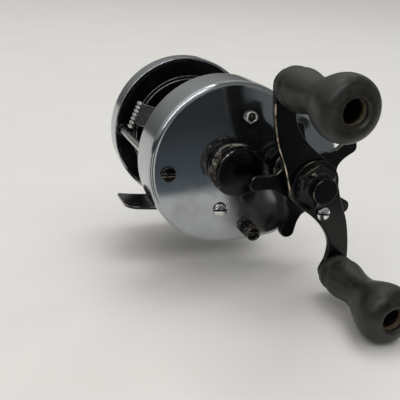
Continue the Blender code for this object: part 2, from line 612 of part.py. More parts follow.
# ---------------------------------------------------------------- handle
def build_handle():
    """Curved arm with its nut, retaining screw, and a knob on a post at each end."""
    half = [(2.0, -8.7), (6.4, -6.3), (12.4, -2.4), (18.5, 0.1), (24.0, 0.6), (29.0, -1.6)]
    half += [(32.8, -4.9), (37.6, -4.3), (39.9, 0.0), (38.0, 4.2), (33.0, 6.0), (26.0, 7.8)]
    half += [(18.0, 8.8), (10.0, 8.4), (4.0, 8.6)]
    outline = [turned_point(point, ARM_ANGLE) for point in half]
    outline += [turned_point((-u, -v), ARM_ANGLE) for u, v in half]
    arm = slab("handle_arm", [outline], 50.2, 52.5, AT_CRANK, resolution=2)
    knob_places = [turned_point((ARM_LENGTH * side, 0.0), ARM_ANGLE) for side in (1.0, -1.0)]
    ends = [on_axis((CRANK[0] + u, CRANK[1] + v)) for u, v in knob_places]
    retainer = turned_point((11.4, 0.0), -65.5)
    at_retainer = on_axis((CRANK[0] + retainer[0], CRANK[1] + retainer[1]))
    drill(arm, 2.2, 49.0, 54.0, AT_CRANK, steps=16)
    drill(arm, 1.7, 49.0, 54.0, *ends)
    drill(arm, 1.2, 49.0, 54.0, at_retainer)
    keep(arm, BLACK_METAL)

    keep(ring("handle_spacer", 4.6, 2.6, 48.7, 49.9, AT_CRANK), BLACK_METAL)
    profile = [(4.9, 56.0), (6.2, 55.3), (6.9, 54.9), (7.0, 54.0), (8.5, 53.8), (8.5, 52.8)]
    profile += [(2.3, 52.8), (2.3, 56.0)]
    keep(turned("nut_flange", profile, AT_CRANK, 18), BLACK_METAL)
    profile = [(0.0, 60.0), (4.0, 60.0), (4.3, 59.7), (4.3, 56.3), (2.2, 56.3), (2.2, 58.4)]
    profile.append((0.0, 58.4))
    keep(turned("handle_nut", profile, AT_CRANK, 20), BLACK_METAL)

    profile = [(0.0, 54.0), (1.9, 54.0), (2.4, 53.5), (2.4, 52.8), (0.9, 52.8), (0.9, 50.0)]
    profile.append((0.0, 50.0))
    screw = turned("retainer_screw", profile, at_retainer, 14)
    slot = block("slot", (-3.0, -0.3, 53.4), (3.0, 0.3, 55.0), at_retainer)
    combine(screw, "DIFFERENCE", slot)
    keep(screw, CHROME)

    knob = [(4.2, 88.0), (6.2, 87.7), (8.1, 86.5), (9.2, 84.4), (9.45, 82.3), (9.1, 79.8)]
    knob += [(6.9, 74.0), (5.9, 70.6), (5.8, 66.6), (6.5, 62.0), (6.8, 59.2), (6.5, 57.0)]
    knob += [(6.5, 53.2), (1.8, 53.2)]
    knob += [(1.8, 79.0), (3.7, 79.0), (3.7, 87.6)]
    post = [(0.0, 80.8), (2.9, 80.8), (2.9, 79.3), (1.4, 79.3), (1.4, 49.9), (2.6, 49.9)]
    post += [(2.6, 49.0), (0.0, 49.0)]
    for label, frame in zip(("upper", "lower"), ends):
        keep(turned(f"knob_{label}", knob, frame, 20), RUBBER)
        keep(turned(f"knob_post_{label}", post, frame, 14), STEEL)


# ---------------------------------------------------------------- level wind
def build_level_wind():
    """Worm in its slotted tube, and the line guide that its pawl carries along."""
    keep(rod("worm_shaft", 1.2, -18.6, 21.4, AT_WORM, 14), STEEL)
    tube = ring("worm_tube", 2.4, 1.9, -RIM_HALF, RIM_HALF, AT_WORM)
    y, z = WORM
    slot = block("slot", (-12.0, y - 1.4, z - 4.0), (12.0, y + 1.4, z - 0.9))
    combine(tube, "DIFFERENCE", slot)
    keep(tube, CHROME)
    keep(rod("guide_rod", 1.0, -RIM_HALF, RIM_HALF, on_axis(GUIDE_ROD), 14), STEEL)

    guide = ring("line_guide", 3.9, 2.7, -3.0, 3.0, AT_WORM, 16)
    down = Matrix.Translation((0.0, y * MM, z * MM))
    drill(guide, 1.3, -5.0, -2.0, down, steps=12)
    front = (24.2, 26.2)
    upright = block("upright", (-2.6, front[0], z + 1.2), (2.6, front[1], SPOOL_HEIGHT + 8.0))
    eye = block("eye", (-1.2, front[0] - 2.0, SPOOL_HEIGHT - 7.0),
                (1.2, front[1] + 2.0, SPOOL_HEIGHT + 3.6))
    boss = rod("boss", 2.3, -2.9, 2.9, on_axis(GUIDE_ROD), 12)
    socket = ring("socket", 2.0, 1.35, -5.6, -3.1, down, 12)
    combine(guide, "UNION", upright, boss, socket)
    combine(guide, "DIFFERENCE", eye)
    drill(guide, 1.3, -5.0, 5.0, on_axis(GUIDE_ROD), steps=12)
    keep(guide, CHROME)
    profile = [(0.0, -1.7), (0.8, -1.7), (1.0, -1.9), (1.0, -5.9), (1.8, -5.9), (1.8, -6.6)]
    profile += [(1.5, -6.9), (0.0, -6.9)]
    keep(turned("pawl", profile, down, 16), BRASS)


build_left_plate()
build_right_plate()
build_pillars()
build_foot()
build_left_cover()
build_right_cover()
build_right_fasteners()
build_spool()
build_pinion()
build_clutch()
build_thumb_bar()
build_drive()
build_dog()
build_star()
build_handle()
build_level_wind()
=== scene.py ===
"""Looks of a round baitcasting reel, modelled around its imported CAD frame.

Sizes are in mm and become metres through MM. A turned or lofted piece is drawn in its seat's
own axes: x is world +Y, y is world +Z, and height is world +X from the lowest X of its node.
"""
import json
from math import atan2, ceil, cos, pi, radians, sin, sqrt, tan, tau

import bmesh
import bpy
from mathutils import Matrix, Vector

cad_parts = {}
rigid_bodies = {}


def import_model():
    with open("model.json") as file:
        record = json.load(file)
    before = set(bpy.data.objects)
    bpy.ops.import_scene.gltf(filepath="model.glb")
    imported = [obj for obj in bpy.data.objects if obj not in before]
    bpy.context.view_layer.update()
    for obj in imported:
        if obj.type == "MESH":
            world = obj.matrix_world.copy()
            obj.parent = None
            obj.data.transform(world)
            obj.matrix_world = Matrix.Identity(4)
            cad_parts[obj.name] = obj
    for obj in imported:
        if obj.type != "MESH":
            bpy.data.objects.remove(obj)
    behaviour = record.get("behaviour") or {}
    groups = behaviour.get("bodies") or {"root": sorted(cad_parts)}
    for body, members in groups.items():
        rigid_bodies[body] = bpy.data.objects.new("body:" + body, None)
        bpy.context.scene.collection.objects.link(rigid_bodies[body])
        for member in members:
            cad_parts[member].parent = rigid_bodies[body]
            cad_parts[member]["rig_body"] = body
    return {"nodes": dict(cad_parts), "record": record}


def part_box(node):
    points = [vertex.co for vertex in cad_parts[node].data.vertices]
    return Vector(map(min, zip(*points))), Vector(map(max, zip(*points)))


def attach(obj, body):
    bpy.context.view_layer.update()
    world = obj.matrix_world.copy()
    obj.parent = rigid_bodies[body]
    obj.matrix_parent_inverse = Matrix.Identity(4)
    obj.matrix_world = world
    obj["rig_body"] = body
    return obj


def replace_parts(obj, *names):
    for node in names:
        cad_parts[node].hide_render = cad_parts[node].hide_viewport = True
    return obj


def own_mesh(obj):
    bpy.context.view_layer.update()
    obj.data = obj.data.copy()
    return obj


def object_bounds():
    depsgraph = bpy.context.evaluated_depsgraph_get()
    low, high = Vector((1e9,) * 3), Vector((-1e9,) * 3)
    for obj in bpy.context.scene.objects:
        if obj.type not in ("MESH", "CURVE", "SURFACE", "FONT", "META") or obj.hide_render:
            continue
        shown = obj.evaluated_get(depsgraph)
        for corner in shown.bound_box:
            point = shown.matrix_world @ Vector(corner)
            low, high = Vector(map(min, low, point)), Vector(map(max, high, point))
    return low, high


MM = 0.001

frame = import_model()
cad_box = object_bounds()
SLOT_OF = {part["node"]: part["material_slot"] for part in frame["record"]["subparts"]}
SPINDLE = Matrix(((0, 0, 1, 0), (1, 0, 0, 0), (0, 1, 0, 0), (0, 0, 0, 1)))  # z to world +X
WORLD = Matrix.Identity(4)
ROUND = 128                     # steps round a large turned piece
SMALL_ROUND = 56                # steps round a screw or a pin


# ---- places
def middle(node):
    """Centre of a node's box as (x, y, z) in mm."""
    low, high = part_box(node)
    return (Vector(low) + Vector(high)) / (2.0 * MM)


def seat(node, centre=None):
    """Frame of a piece on an X-parallel axis, with height 0 at the node's lowest X."""
    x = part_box(node)[0][0]
    y, z = (centre or middle(node).yz)
    return Matrix.Translation((x, y * MM, z * MM)) @ SPINDLE


SPOOL = tuple(middle("spool_shaft").yz)
CRANK = tuple(middle("drive_shaft").yz)
WORM = tuple(middle("worm_shaft").yz)
ROD = tuple(middle("guide_rod").yz)
KNOBS = {name: tuple(middle(f"knob_{name}").yz) for name in ("upper", "lower")}


# ---- materials
class Finish:
    """A Principled material, with short calls for the nodes that feed it."""

    def __init__(self, name, colour, roughness, metallic=0.0, **constants):
        self.material = bpy.data.materials.new(name)
        self.material.use_nodes = True
        self.tree = self.material.node_tree
        self.shader = self.tree.nodes["Principled BSDF"]
        self.set("Base Color", (*colour, 1.0))
        self.set("Roughness", roughness)
        self.set("Metallic", metallic)
        for socket, value in constants.items():
            self.set(socket.replace("_", " ").capitalize(), value)
        self.place = self.node("TexCoord").outputs["Object"]

    def set(self, socket, value):
        """A constant goes on the shader's own socket."""
        names = {key.name.lower(): key for key in self.shader.inputs}
        names[socket.lower()].default_value = value

    def node(self, kind, inputs=None, **settings):
        """Add a shader node; inputs hold either a constant or another node's output."""
        made = self.tree.nodes.new(f"ShaderNode{kind}")
        for key, value in settings.items():
            setattr(made, key, value)
        for key, value in (inputs or {}).items():
            if isinstance(value, bpy.types.NodeSocket):
                self.tree.links.new(value, made.inputs[key])
            else:
                made.inputs[key].default_value = value
        return made

    def stretched(self, scale):
        """Object coordinates scaled on each axis."""
        return self.node("Mapping", {"Vector": self.place, "Scale": scale}).outputs[0]

    def noise(self, size, detail=3.0, roughness=0.55, place=None):
        """Noise whose features are about size mm across."""
        inputs = {"Vector": place or self.place, "Scale": 1.0 / (size * MM)}
        inputs.update({"Detail": detail, "Roughness": roughness})
        return self.node("TexNoise", inputs).outputs[0]

    def remap(self, value, low, high, to_low=0.0, to_high=1.0):
        """Clamped linear remap."""
        inputs = {"Value": value, "From Min": low, "From Max": high}
        inputs.update({"To Min": to_low, "To Max": to_high})
        return self.node("MapRange", inputs).outputs[0]

    def maths(self, operation, a, b):
        """One arithmetic node."""
        return self.node("Math", {0: a, 1: b}, operation=operation).outputs[0]

    def tint(self, share, first, second):
        """Base colour that goes from one to the other with a share."""
        self.feed("Base Color", self.blend(share, first, second))

    def times(self, a, b):
        """Product of two values."""
        return self.maths("MULTIPLY", a, b)

    def blend(self, share, a, b):
        """Colour a where share is 0, colour b where it is 1; either may be a socket."""
        made = self.node("Mix", {0: share}, data_type="RGBA")
        for socket, colour in ((made.inputs[6], a), (made.inputs[7], b)):
            if isinstance(colour, bpy.types.NodeSocket):
                self.tree.links.new(colour, socket)
            else:
                socket.default_value = (*colour, 1.0)
        return made.outputs[2]

    def edges(self, radius, reach=0.07):
        """Mask that is 1 on corners sharper than their surroundings within radius mm."""
        soft = self.node("Bevel", {"Radius": radius * MM}, samples=6).outputs[0]
        hard = self.node("NewGeometry").outputs["Normal"]
        dot = self.node("VectorMath", {0: soft, 1: hard}, operation="DOT_PRODUCT").outputs["Value"]
        return self.remap(dot, 1.0 - 0.15 * reach, 1.0 - reach, 0.0, 1.0)

    def feed(self, socket, value):
        """Link a value to one of the shader's sockets."""
        self.tree.links.new(value, self.shader.inputs[socket])

    def weather(self, patches, clean, worn, smooth, dull):
        """Go from a clean colour and roughness to worn ones where patches is 1."""
        self.tint(patches, clean, worn)
        self.feed("Roughness", self.remap(patches, 0.0, 1.0, smooth, dull))

    def bump(self, *layers):
        """Chain (height, strength, depth in mm) layers into the normal."""
        normal = None
        for height, strength, depth in layers:
            inputs = {"Height": height, "Strength": strength, "Distance": depth * MM}
            if normal is not None:
                inputs["Normal"] = normal
            normal = self.node("Bump", inputs).outputs[0]
        self.feed("Normal", normal)


def polished_cover():
    """Polished plating with a smudged haze, hairline scratches and small pits."""
    made = Finish("polished_cover", (0.45, 0.475, 0.49), 0.1, 0.985)
    haze = made.remap(made.noise(9.0, 4.0), 0.42, 0.68)
    streaks = made.noise(0.5, 2.0, place=made.stretched((1.0, 9.0, 1.0)))
    scratches = made.remap(streaks, 0.68, 0.74)
    pits = made.remap(made.noise(0.55, 1.0), 0.76, 0.80)
    rough = made.remap(haze, 0.0, 1.0, 0.095, 0.165)
    rough = made.maths("ADD", rough, made.times(scratches, 0.08))
    made.feed("Roughness", made.maths("ADD", rough, made.times(pits, 0.25)))
    tone = made.blend(haze, (0.46, 0.485, 0.50), (0.40, 0.42, 0.43))
    made.tint(pits, tone, (0.16, 0.14, 0.12))
    made.bump((scratches, 0.06, 0.02), (pits, 0.25, 0.05), (made.noise(14.0, 1.0), 0.05, 0.1))
    return made.material


def chrome():
    """Bright plating with a little tarnish in patches."""
    made = Finish("chrome", (0.78, 0.78, 0.78), 0.1, 1.0)
    tarnish = made.remap(made.noise(1.6, 4.0), 0.5, 0.75)
    made.weather(tarnish, (0.80, 0.80, 0.79), (0.46, 0.42, 0.36), 0.07, 0.28)
    made.bump((made.noise(0.6, 2.0), 0.06, 0.03))
    return made.material


def steel():
    """Satin steel, drawn lengthwise, with dull patches."""
    made = Finish("steel", (0.46, 0.46, 0.45), 0.25, 1.0)
    grain = made.noise(0.25, 2.0, place=made.stretched((1.0, 1.0, 0.08)))
    dull = made.remap(made.noise(3.0, 5.0), 0.45, 0.7)
    made.tint(dull, (0.50, 0.50, 0.49), (0.33, 0.32, 0.30))
    rough = made.remap(grain, 0.3, 0.7, 0.16, 0.30)
    made.feed("Roughness", made.maths("ADD", rough, made.times(dull, 0.12)))
    made.bump((grain, 0.12, 0.03))
    return made.material


def brass():
    """Cut brass, a little browned."""
    made = Finish("brass", (0.60, 0.42, 0.17), 0.28, 1.0)
    brown = made.remap(made.noise(1.5, 4.0), 0.4, 0.7)
    made.weather(brown, (0.64, 0.46, 0.19), (0.36, 0.22, 0.09), 0.22, 0.42)
    made.bump((made.noise(0.3, 2.0), 0.1, 0.03))
    return made.material


def dusty_brass():
    """Brass gone dull and tan under grime."""
    made = Finish("dusty_brass", (0.36, 0.29, 0.21), 0.45, 0.55)
    dirt = made.remap(made.noise(1.0, 4.0), 0.4, 0.7)
    made.weather(dirt, (0.34, 0.27, 0.19), (0.10, 0.072, 0.048), 0.35, 0.6)
    made.bump((made.noise(0.3, 2.0), 0.15, 0.04))
    return made.material


def grime():
    """Packed dirt and old oil."""
    made = Finish("grime", (0.008, 0.007, 0.006), 0.7)
    lumps = made.noise(0.3, 3.0)
    made.tint(lumps, (0.004, 0.0035, 0.003), (0.016, 0.013, 0.010))
    made.feed("Roughness", made.remap(lumps, 0.3, 0.7, 0.5, 0.8))
    made.bump((lumps, 0.4, 0.06))
    return made.material


def bar_plating():
    """Darkened plating, rubbed bright at its edges."""
    made = Finish("bar_plating", (0.20, 0.21, 0.22), 0.2, 1.0)
    dull = made.remap(made.noise(2.2, 5.0), 0.42, 0.68)
    tone = made.blend(dull, (0.085, 0.09, 0.095), (0.14, 0.14, 0.135))
    made.tint(made.edges(0.30), tone, (0.68, 0.67, 0.64))
    made.feed("Roughness", made.remap(dull, 0.0, 1.0, 0.16, 0.34))
    made.bump((made.noise(0.4, 3.0), 0.10, 0.03))
    return made.material


def enamel(name, roughness, wear_colour, wear, black, dusty, **constants):
    """Black finish over bronze metal that shows where corners are rubbed."""
    made = Finish(name, black, roughness, **constants)
    patches = made.remap(made.noise(1.6, 5.0), wear, wear + 0.14)
    rubbed = made.times(made.edges(0.28), patches)
    chips = made.remap(made.noise(0.42, 3.0), 0.735, 0.765)
    bare = made.maths("MAXIMUM", rubbed, made.times(chips, 0.55))
    dust = made.remap(made.noise(4.5, 5.0, 0.62), 0.48, 0.78)
    coat = made.blend(dust, black, dusty)
    made.tint(bare, coat, wear_colour)
    made.feed("Metallic", made.times(bare, 0.9))
    rough = made.remap(dust, 0.0, 1.0, roughness, roughness + 0.16)
    made.feed("Roughness", made.maths("MAXIMUM", rough, made.times(bare, 0.34)))
    made.bump((made.noise(0.35, 3.0), 0.10, 0.03), (bare, -0.15, 0.03))
    return made.material


def worn_edge_highlight():
    """Bronze showing in patches along an edge that has lost its black, put only where edges face
    the light, so also a painted highlight.
    """
    made = Finish("worn_edge_highlight", (0.5, 0.42, 0.3), 0.3, 0.8)
    patches = made.remap(made.noise(3.2, 5.0), 0.43, 0.62)
    made.tint(patches, (0.03, 0.026, 0.02), (0.62, 0.53, 0.39))
    made.feed("Metallic", made.times(patches, 0.8))
    made.bump((made.noise(0.3, 2.0), 0.1, 0.03))
    return made.material


def tip_wear_glints():
    """Points of a knurl rubbed down to pale metal, pale in patches as painted glints; also used as
    a painted highlight.
    """
    made = Finish("tip_wear_glints", (0.5, 0.47, 0.4), 0.4, 0.45)
    patches = made.remap(made.noise(0.45, 1.0), 0.50, 0.56)
    made.tint(patches, (0.03, 0.027, 0.022), (0.88, 0.85, 0.76))
    return made.material


def black_nylon():
    """Moulded nylon."""
    made = Finish("black_nylon", (0.02, 0.02, 0.02), 0.5)
    grain = made.noise(0.3, 3.0)
    made.feed("Roughness", made.remap(grain, 0.3, 0.7, 0.42, 0.6))
    made.bump((grain, 0.2, 0.03))
    return made.material


def dark_steel():
    """Screws gone brown, with pale edges in patches: partly rubbed by a screwdriver or a thumb,
    partly painted glints.
    """
    made = Finish("dark_steel", (0.06, 0.048, 0.04), 0.35, 0.9)
    rust = made.remap(made.noise(0.9, 5.0), 0.42, 0.66)
    tone = made.blend(rust, (0.004, 0.0038, 0.0036), (0.015, 0.011, 0.008))
    # Pale edges in patches: wear, and painted glints on slot edges and rims.
    patches = made.remap(made.noise(1.3, 3.0), 0.40, 0.52)
    bright = made.times(made.edges(0.22), patches)
    made.tint(bright, tone, (0.92, 0.88, 0.78))
    made.feed("Roughness", made.remap(rust, 0.0, 1.0, 0.16, 0.42))
    made.bump((made.noise(0.3, 4.0), 0.25, 0.05))
    return made.material


def rubber():
    """Weathered grip: brown-black and chalky in patches, over a fine pitted skin."""
    made = Finish("rubber", (0.02, 0.018, 0.016), 0.5, specular_ior_level=0.52)
    bloom = made.remap(made.noise(5.5, 6.0, 0.6), 0.36, 0.70)
    stain = made.remap(made.noise(3.2, 4.0, 0.5), 0.60, 0.76)
    specks = made.remap(made.noise(0.5, 2.0), 0.68, 0.75)
    tone = made.blend(bloom, (0.0028, 0.0028, 0.0025), (0.0135, 0.0128, 0.0100))
    tone = made.blend(made.times(stain, 0.6), tone, (0.032, 0.021, 0.015))
    mottle = made.remap(made.noise(1.3, 5.0, 0.75), 0.44, 0.64)
    tone = made.blend(made.times(mottle, 0.75), tone, (0.026, 0.0235, 0.0150))
    tone = made.blend(made.times(specks, 0.5), tone, (0.048, 0.043, 0.034))
    made.feed("Base Color", tone)
    made.feed("Roughness", made.remap(bloom, 0.0, 1.0, 0.33, 0.52))
    skin = made.noise(0.22, 4.0, 0.6)
    made.bump((skin, 0.34, 0.06), (made.noise(1.1, 4.0), 0.20, 0.12))
    return made.material


def drag_fibre():
    """Woven friction disc."""
    made = Finish("drag_fibre", (0.16, 0.08, 0.05), 0.8)
    weave = made.node("TexChecker", {"Vector": made.place, "Scale": 1.0 / (0.5 * MM)}).outputs[1]
    made.tint(weave, (0.13, 0.06, 0.035), (0.22, 0.12, 0.075))
    made.bump((weave, 0.2, 0.05), (made.noise(0.2, 2.0), 0.3, 0.03))
    return made.material


BRONZE, GREY = (0.46, 0.39, 0.28), (0.20, 0.20, 0.20)
PLAIN = (polished_cover, chrome, steel, brass, dusty_brass, bar_plating, worn_edge_highlight, tip_wear_glints,
         black_nylon, dark_steel, grime, rubber, drag_fibre)
FINISHES = {make.__name__: make() for make in PLAIN}
FINISHES["black_metal"] = enamel("black_metal", 0.16, BRONZE, 0.50, (0.0013, 0.0014, 0.0015),
                                 (0.0046, 0.0043, 0.0038), specular_ior_level=0.32)
FINISHES["foot_black"] = enamel("foot_black", 0.20, BRONZE, 0.50, (0.0050, 0.0055, 0.0060),
                                (0.0160, 0.0160, 0.0155), specular_ior_level=0.55)
FINISHES["black_frame"] = enamel("black_frame", 0.26, GREY, 0.56, (0.0022, 0.0024, 0.0026),
                                 (0.006, 0.006, 0.0055), specular_ior_level=0.22)


# ---- mesh helpers
def rounded(corners, closed=False, segments=5):
    """A path through (a, b, fillet) corners, with an arc at each that has a fillet."""
    path = []
    count = len(corners)
    for i, corner in enumerate(corners):
        here = Vector(corner[:2])
        fillet = corner[2] if len(corner) > 2 else 0.0
        if fillet <= 0.0 or (not closed and i in (0, count - 1)):
            path.append(here)
            continue
        back = (Vector(corners[i - 1][:2]) - here).normalized()
        ahead = (Vector(corners[(i + 1) % count][:2]) - here).normalized()
        half = back.angle(ahead) / 2.0
        centre = here + (back + ahead).normalized() * (fillet / sin(half))
        first = here + back * (fillet / tan(half)) - centre
        last = here + ahead * (fillet / tan(half)) - centre
        sweep = atan2(first.x * last.y - first.y * last.x, first.dot(last))
        for k in range(segments + 1):
            a = sweep * k / segments
            turned = Vector((first.x * cos(a) - first.y * sin(a),
                             first.x * sin(a) + first.y * cos(a)))
            path.append(centre + turned)
    return path


def divided(path, step):
    """The same path with no stretch longer than step."""
    fine = [path[0]]
    for a, b in zip(path, path[1:]):
        count = max(1, ceil((b - a).length / step))
        fine += [a.lerp(b, k / count) for k in range(1, count + 1)]
    return fine


def smooth_curve(points, steps=6, closed=True):
    """Catmull-Rom curve through 2D points."""
    points = [Vector(p) for p in points]
    count = len(points)
    path = []
    for i in range(count if closed else count - 1):
        if closed:
            a, b, c, d = (points[(i + k) % count] for k in (-1, 0, 1, 2))
        else:
            a, b, c, d = (points[min(max(i + k, 0), count - 1)] for k in (-1, 0, 1, 2))
        for k in range(steps):
            t = k / steps
            path.append(0.5 * (2.0 * b + (c - a) * t + (2.0 * a - 5.0 * b + 4.0 * c - d) * t * t
                               + (3.0 * b - a - 3.0 * c + d) * t ** 3))
    return path if closed else path + [points[-1]]


def added(name, data):
    """A new object in the scene."""
    obj = bpy.data.objects.new(name, data)
    bpy.context.scene.collection.objects.link(obj)
    return obj


def new_mesh(cage, name):
    """Turn a bmesh into a mesh with its faces pointing out and smooth shading."""
    bmesh.ops.remove_doubles(cage, verts=cage.verts, dist=1e-7)
    bmesh.ops.recalc_face_normals(cage, faces=cage.faces)
    mesh = bpy.data.meshes.new(name)
    cage.to_mesh(mesh)
    cage.free()
    return mesh


def skin(cage, loops, ring=False):
    """Join equal loops of points in mm with quads; a loop may be one point. Caps the ends."""
    made = []
    for loop in loops:
        verts = [cage.verts.new(Vector(p) * MM) for p in loop]
        made.append(verts)
    pairs = list(zip(made, made[1:])) + ([(made[-1], made[0])] if ring else [])
    for a, b in pairs:
        count = max(len(a), len(b))
        for k in range(count):
            corners = [a[k % len(a)], a[(k + 1) % len(a)], b[(k + 1) % len(b)], b[k % len(b)]]
            face = list(dict.fromkeys(corners))
            if len(face) > 2:
                cage.faces.new(face)
    if not ring:
        for end in (made[0], made[-1]):
            if len(end) > 2:
                cage.faces.new(end)
    return cage


def turned(path, steps=ROUND, relief=None):
    """Turn a (radius, height) path round local z. A path off the axis closes to a ring.

    relief(radius, angle, height) gives the radius of a knurled or fluted surface.
    """
    loops = []
    for radius, height in path:
        if radius < 1e-6:
            loops.append([(0.0, 0.0, height)])
            continue
        loop = []
        for k in range(steps):
            angle = tau * k / steps
            r = relief(radius, angle, height) if relief else radius
            loop.append((r * cos(angle), r * sin(angle), height))
        loops.append(loop)
    return skin(bmesh.new(), loops, ring=path[0][0] > 1e-6)


def lofted(outline, path, ring=False):
    """Stack outline(inset) loops along an (inset, height) path."""
    loops = [[(u, v, height) for u, v in outline(inset)] for inset, height in path]
    return skin(bmesh.new(), loops, ring)


def inset_loop(points):
    """outline(inset) for a dense closed loop, moved along its own normals."""
    count = len(points)
    area = sum(points[i - 1].cross(points[i]) for i in range(count))
    side = 1.0 if area > 0.0 else -1.0
    normals = []
    for i in range(count):
        along = (points[(i + 1) % count] - points[i - 1]).normalized()
        normals.append(Vector((-along.y, along.x)) * side)
    return lambda inset: [tuple(p + n * inset) for p, n in zip(points, normals)]


def piece(name, cage, node, place=None, finish=None, sharp=38.0):
    """Finish a fine piece, which rides on the same body as a CAD node."""
    mesh = cage if isinstance(cage, bpy.types.Mesh) else new_mesh(cage, name)
    mesh.shade_smooth()
    mesh.set_sharp_from_angle(angle=radians(sharp))
    obj = added(name, mesh)
    obj.matrix_world = place if place is not None else seat(node)
    finish = finish or SLOT_OF[node]
    obj.data.materials.clear()
    obj.data.materials.append(FINISHES[finish])
    weighted = obj.modifiers.new("face weighted normals", "WEIGHTED_NORMAL")
    weighted.keep_sharp = True
    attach(obj, frame["nodes"][node]["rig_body"])
    return obj


def stand_in(name, cage, node, place=None, finish=None, sharp=38.0):
    """A piece that also replaces its CAD node."""
    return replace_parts(piece(name, cage, node, place, finish, sharp), node)


def spun(name, corners, node, centre=None, steps=ROUND, **rest):
    """A stand-in turned through rounded corners: a ring where they start off the axis."""
    cage = turned(rounded(corners, closed=corners[0][0] > 0.0), steps)
    return stand_in(name, cage, node, seat(node, centre), **rest)


def carved(name, cage, cutters):
    """Boolean difference of closed cages that share one frame, as a mesh."""
    whole = added(name, new_mesh(cage, name))
    tools = []
    for cutter in cutters:
        tool = added("cutter", new_mesh(cutter, "cutter"))
        cut = whole.modifiers.new("cut", "BOOLEAN")
        cut.operation = "DIFFERENCE"
        cut.solver = "EXACT"
        cut.object = tool
        tools.append(tool)
    bpy.context.view_layer.update()
    evaluated = whole.evaluated_get(bpy.context.evaluated_depsgraph_get())
    mesh = bpy.data.meshes.new_from_object(evaluated)
    for old in tools + [whole]:
        bpy.data.objects.remove(old)
    mesh.name = name
    return mesh


def merged(*cages):
    """Several closed cages in one mesh."""
    whole = bmesh.new()
    for cage in cages:
        part = bpy.data.meshes.new("part")
        cage.to_mesh(part)
        cage.free()
        whole.from_mesh(part)
        bpy.data.meshes.remove(part)
    return whole


def cylinder(radius, low, high, centre=(0.0, 0.0), steps=SMALL_ROUND):
    """A plain closed cylinder, used to cut holes."""
    cage = turned([(0.0, high), (radius, high), (radius, low), (0.0, low)], steps)
    bmesh.ops.translate(cage, verts=cage.verts, vec=(centre[0] * MM, centre[1] * MM, 0.0))
    return cage


def box_cage(low, high):
    """A closed box between two corners in mm, used to cut slots."""
    cage = bmesh.new()
    bmesh.ops.create_cube(cage, size=MM)
    size = [b - a for a, b in zip(low, high)]
    bmesh.ops.scale(cage, verts=cage.verts, vec=size)
    centre = [(a + b) / 2.0 * MM for a, b in zip(low, high)]
    bmesh.ops.translate(cage, verts=cage.verts, vec=centre)
    return cage


# ---- covers and frame
COVER_RADIUS = 29.0
COVER_WALL = 1.2
COVER_CORNER = 1.9
BULGES = (((22.7, -2.4), 20.0), ((13.6, -8.1), 20.0))    # (centre from the spool, radius)


def cover_outline(inset, count=288):
    """Belt round the main circle and the two front bulges, from the spool's axis."""
    circles = [((0.0, 0.0), COVER_RADIUS), *BULGES]
    points = []
    for i in range(count):
        angle = tau * i / count
        nx, ny = cos(angle), sin(angle)
        _, (cx, cy), radius = max((c[0] * nx + c[1] * ny + r, c, r) for c, r in circles)
        points.append((cx + (radius - inset) * nx, cy + (radius - inset) * ny))
    return points


def span(node):
    """Length of a node along X in mm."""
    low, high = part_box(node)
    return (high[0] - low[0]) / MM


def from_spool(node):
    """(y, z) of a node's middle, measured from the spool's axis."""
    y, z = middle(node).yz
    return (y - SPOOL[0], z - SPOOL[1])


def build_covers():
    """Both polished side covers."""
    depth = span("left_cover")
    inner = COVER_RADIUS - COVER_WALL
    path = rounded([(0.0, COVER_WALL), (inner, COVER_WALL, 0.8), (inner, depth, 0.3),
                    (COVER_RADIUS, depth, 0.3), (COVER_RADIUS, 0.0, COVER_CORNER), (0.0, 0.0)])
    places = [from_spool(f"left_cover_screw_{i}") for i in (1, 2)]
    holes = [cylinder(1.3, -2.0, 3.0, place) for place in places]
    stand_in("far_cover", carved("far_cover", turned(path, 192), holes), "left_cover",
             seat("left_cover", SPOOL))

    depth = span("right_cover")
    path = rounded([(COVER_WALL, depth - COVER_WALL), (COVER_WALL, 0.0, 0.3), (0.0, 0.0, 0.3),
                    (0.0, depth, COVER_CORNER), (6.0, depth)], segments=8)
    holes = [cylinder(5.7, 10.0, 20.0)]
    holes.append(cylinder(5.5, 10.0, 20.0, (CRANK[0] - SPOOL[0], CRANK[1] - SPOOL[1])))
    for node in ("cover_screw_rear", "cover_screw_lower", "takedown_thumbscrew"):
        holes.append(cylinder(1.4, 10.0, 20.0, from_spool(node)))
    holes.append(cylinder(1.7, 10.0, 20.0, from_spool("cover_eyelet")))
    mesh = carved("handle_side_cover", lofted(cover_outline, path), holes)
    stand_in("handle_side_cover", mesh, "right_cover", seat("right_cover", SPOOL))


def build_plates():
    """The far frame plate and the cross pillars."""
    corners = [(27.5, 5.4, 0.3), (27.5, 3.4, 0.3), (6.5, 3.4, 0.4), (6.5, 0.0, 0.3),
               (4.3, 0.0, 0.2), (4.3, 4.0), (2.1, 4.0), (2.1, 5.4, 0.2)]
    spun("far_plate", corners, "left_frame_plate")
    length = span("pillar_rear")
    for node in ("pillar_rear", "pillar_top_front"):
        ends = [(0.0, 0.0), (1.25, 0.0, 0.1), (1.25, 1.8), (1.45, 2.1, 0.1)]
        corners = ends + [(r, length - h, *f) for r, h, *f in reversed(ends)]
        spun(f"{node}_rod", corners, node, steps=SMALL_ROUND)
        collar = [(1.3, -0.3), (2.5, -0.3), (2.5, 0.7, 0.2), (1.9, 1.3, 0.2), (1.3, 1.3)]
        piece(f"{node}_collar", turned(rounded(collar), SMALL_ROUND), node, finish="black_frame")
    for node in ("pillar_lower_rear", "pillar_lower_front"):
        corners = [(0.0, 0.0), (1.9, 0.0, 0.25), (1.9, length, 0.25), (0.0, length)]
        spun(f"{node}_rod", corners, node, steps=SMALL_ROUND)


def paint_faces(obj, finish, wanted):
    """Give one more finish to the faces for which wanted(face) holds."""
    obj.data.materials.append(FINISHES[finish])
    for face in obj.data.polygons:
        if wanted(face):
            face.material_index = len(obj.data.materials) - 1


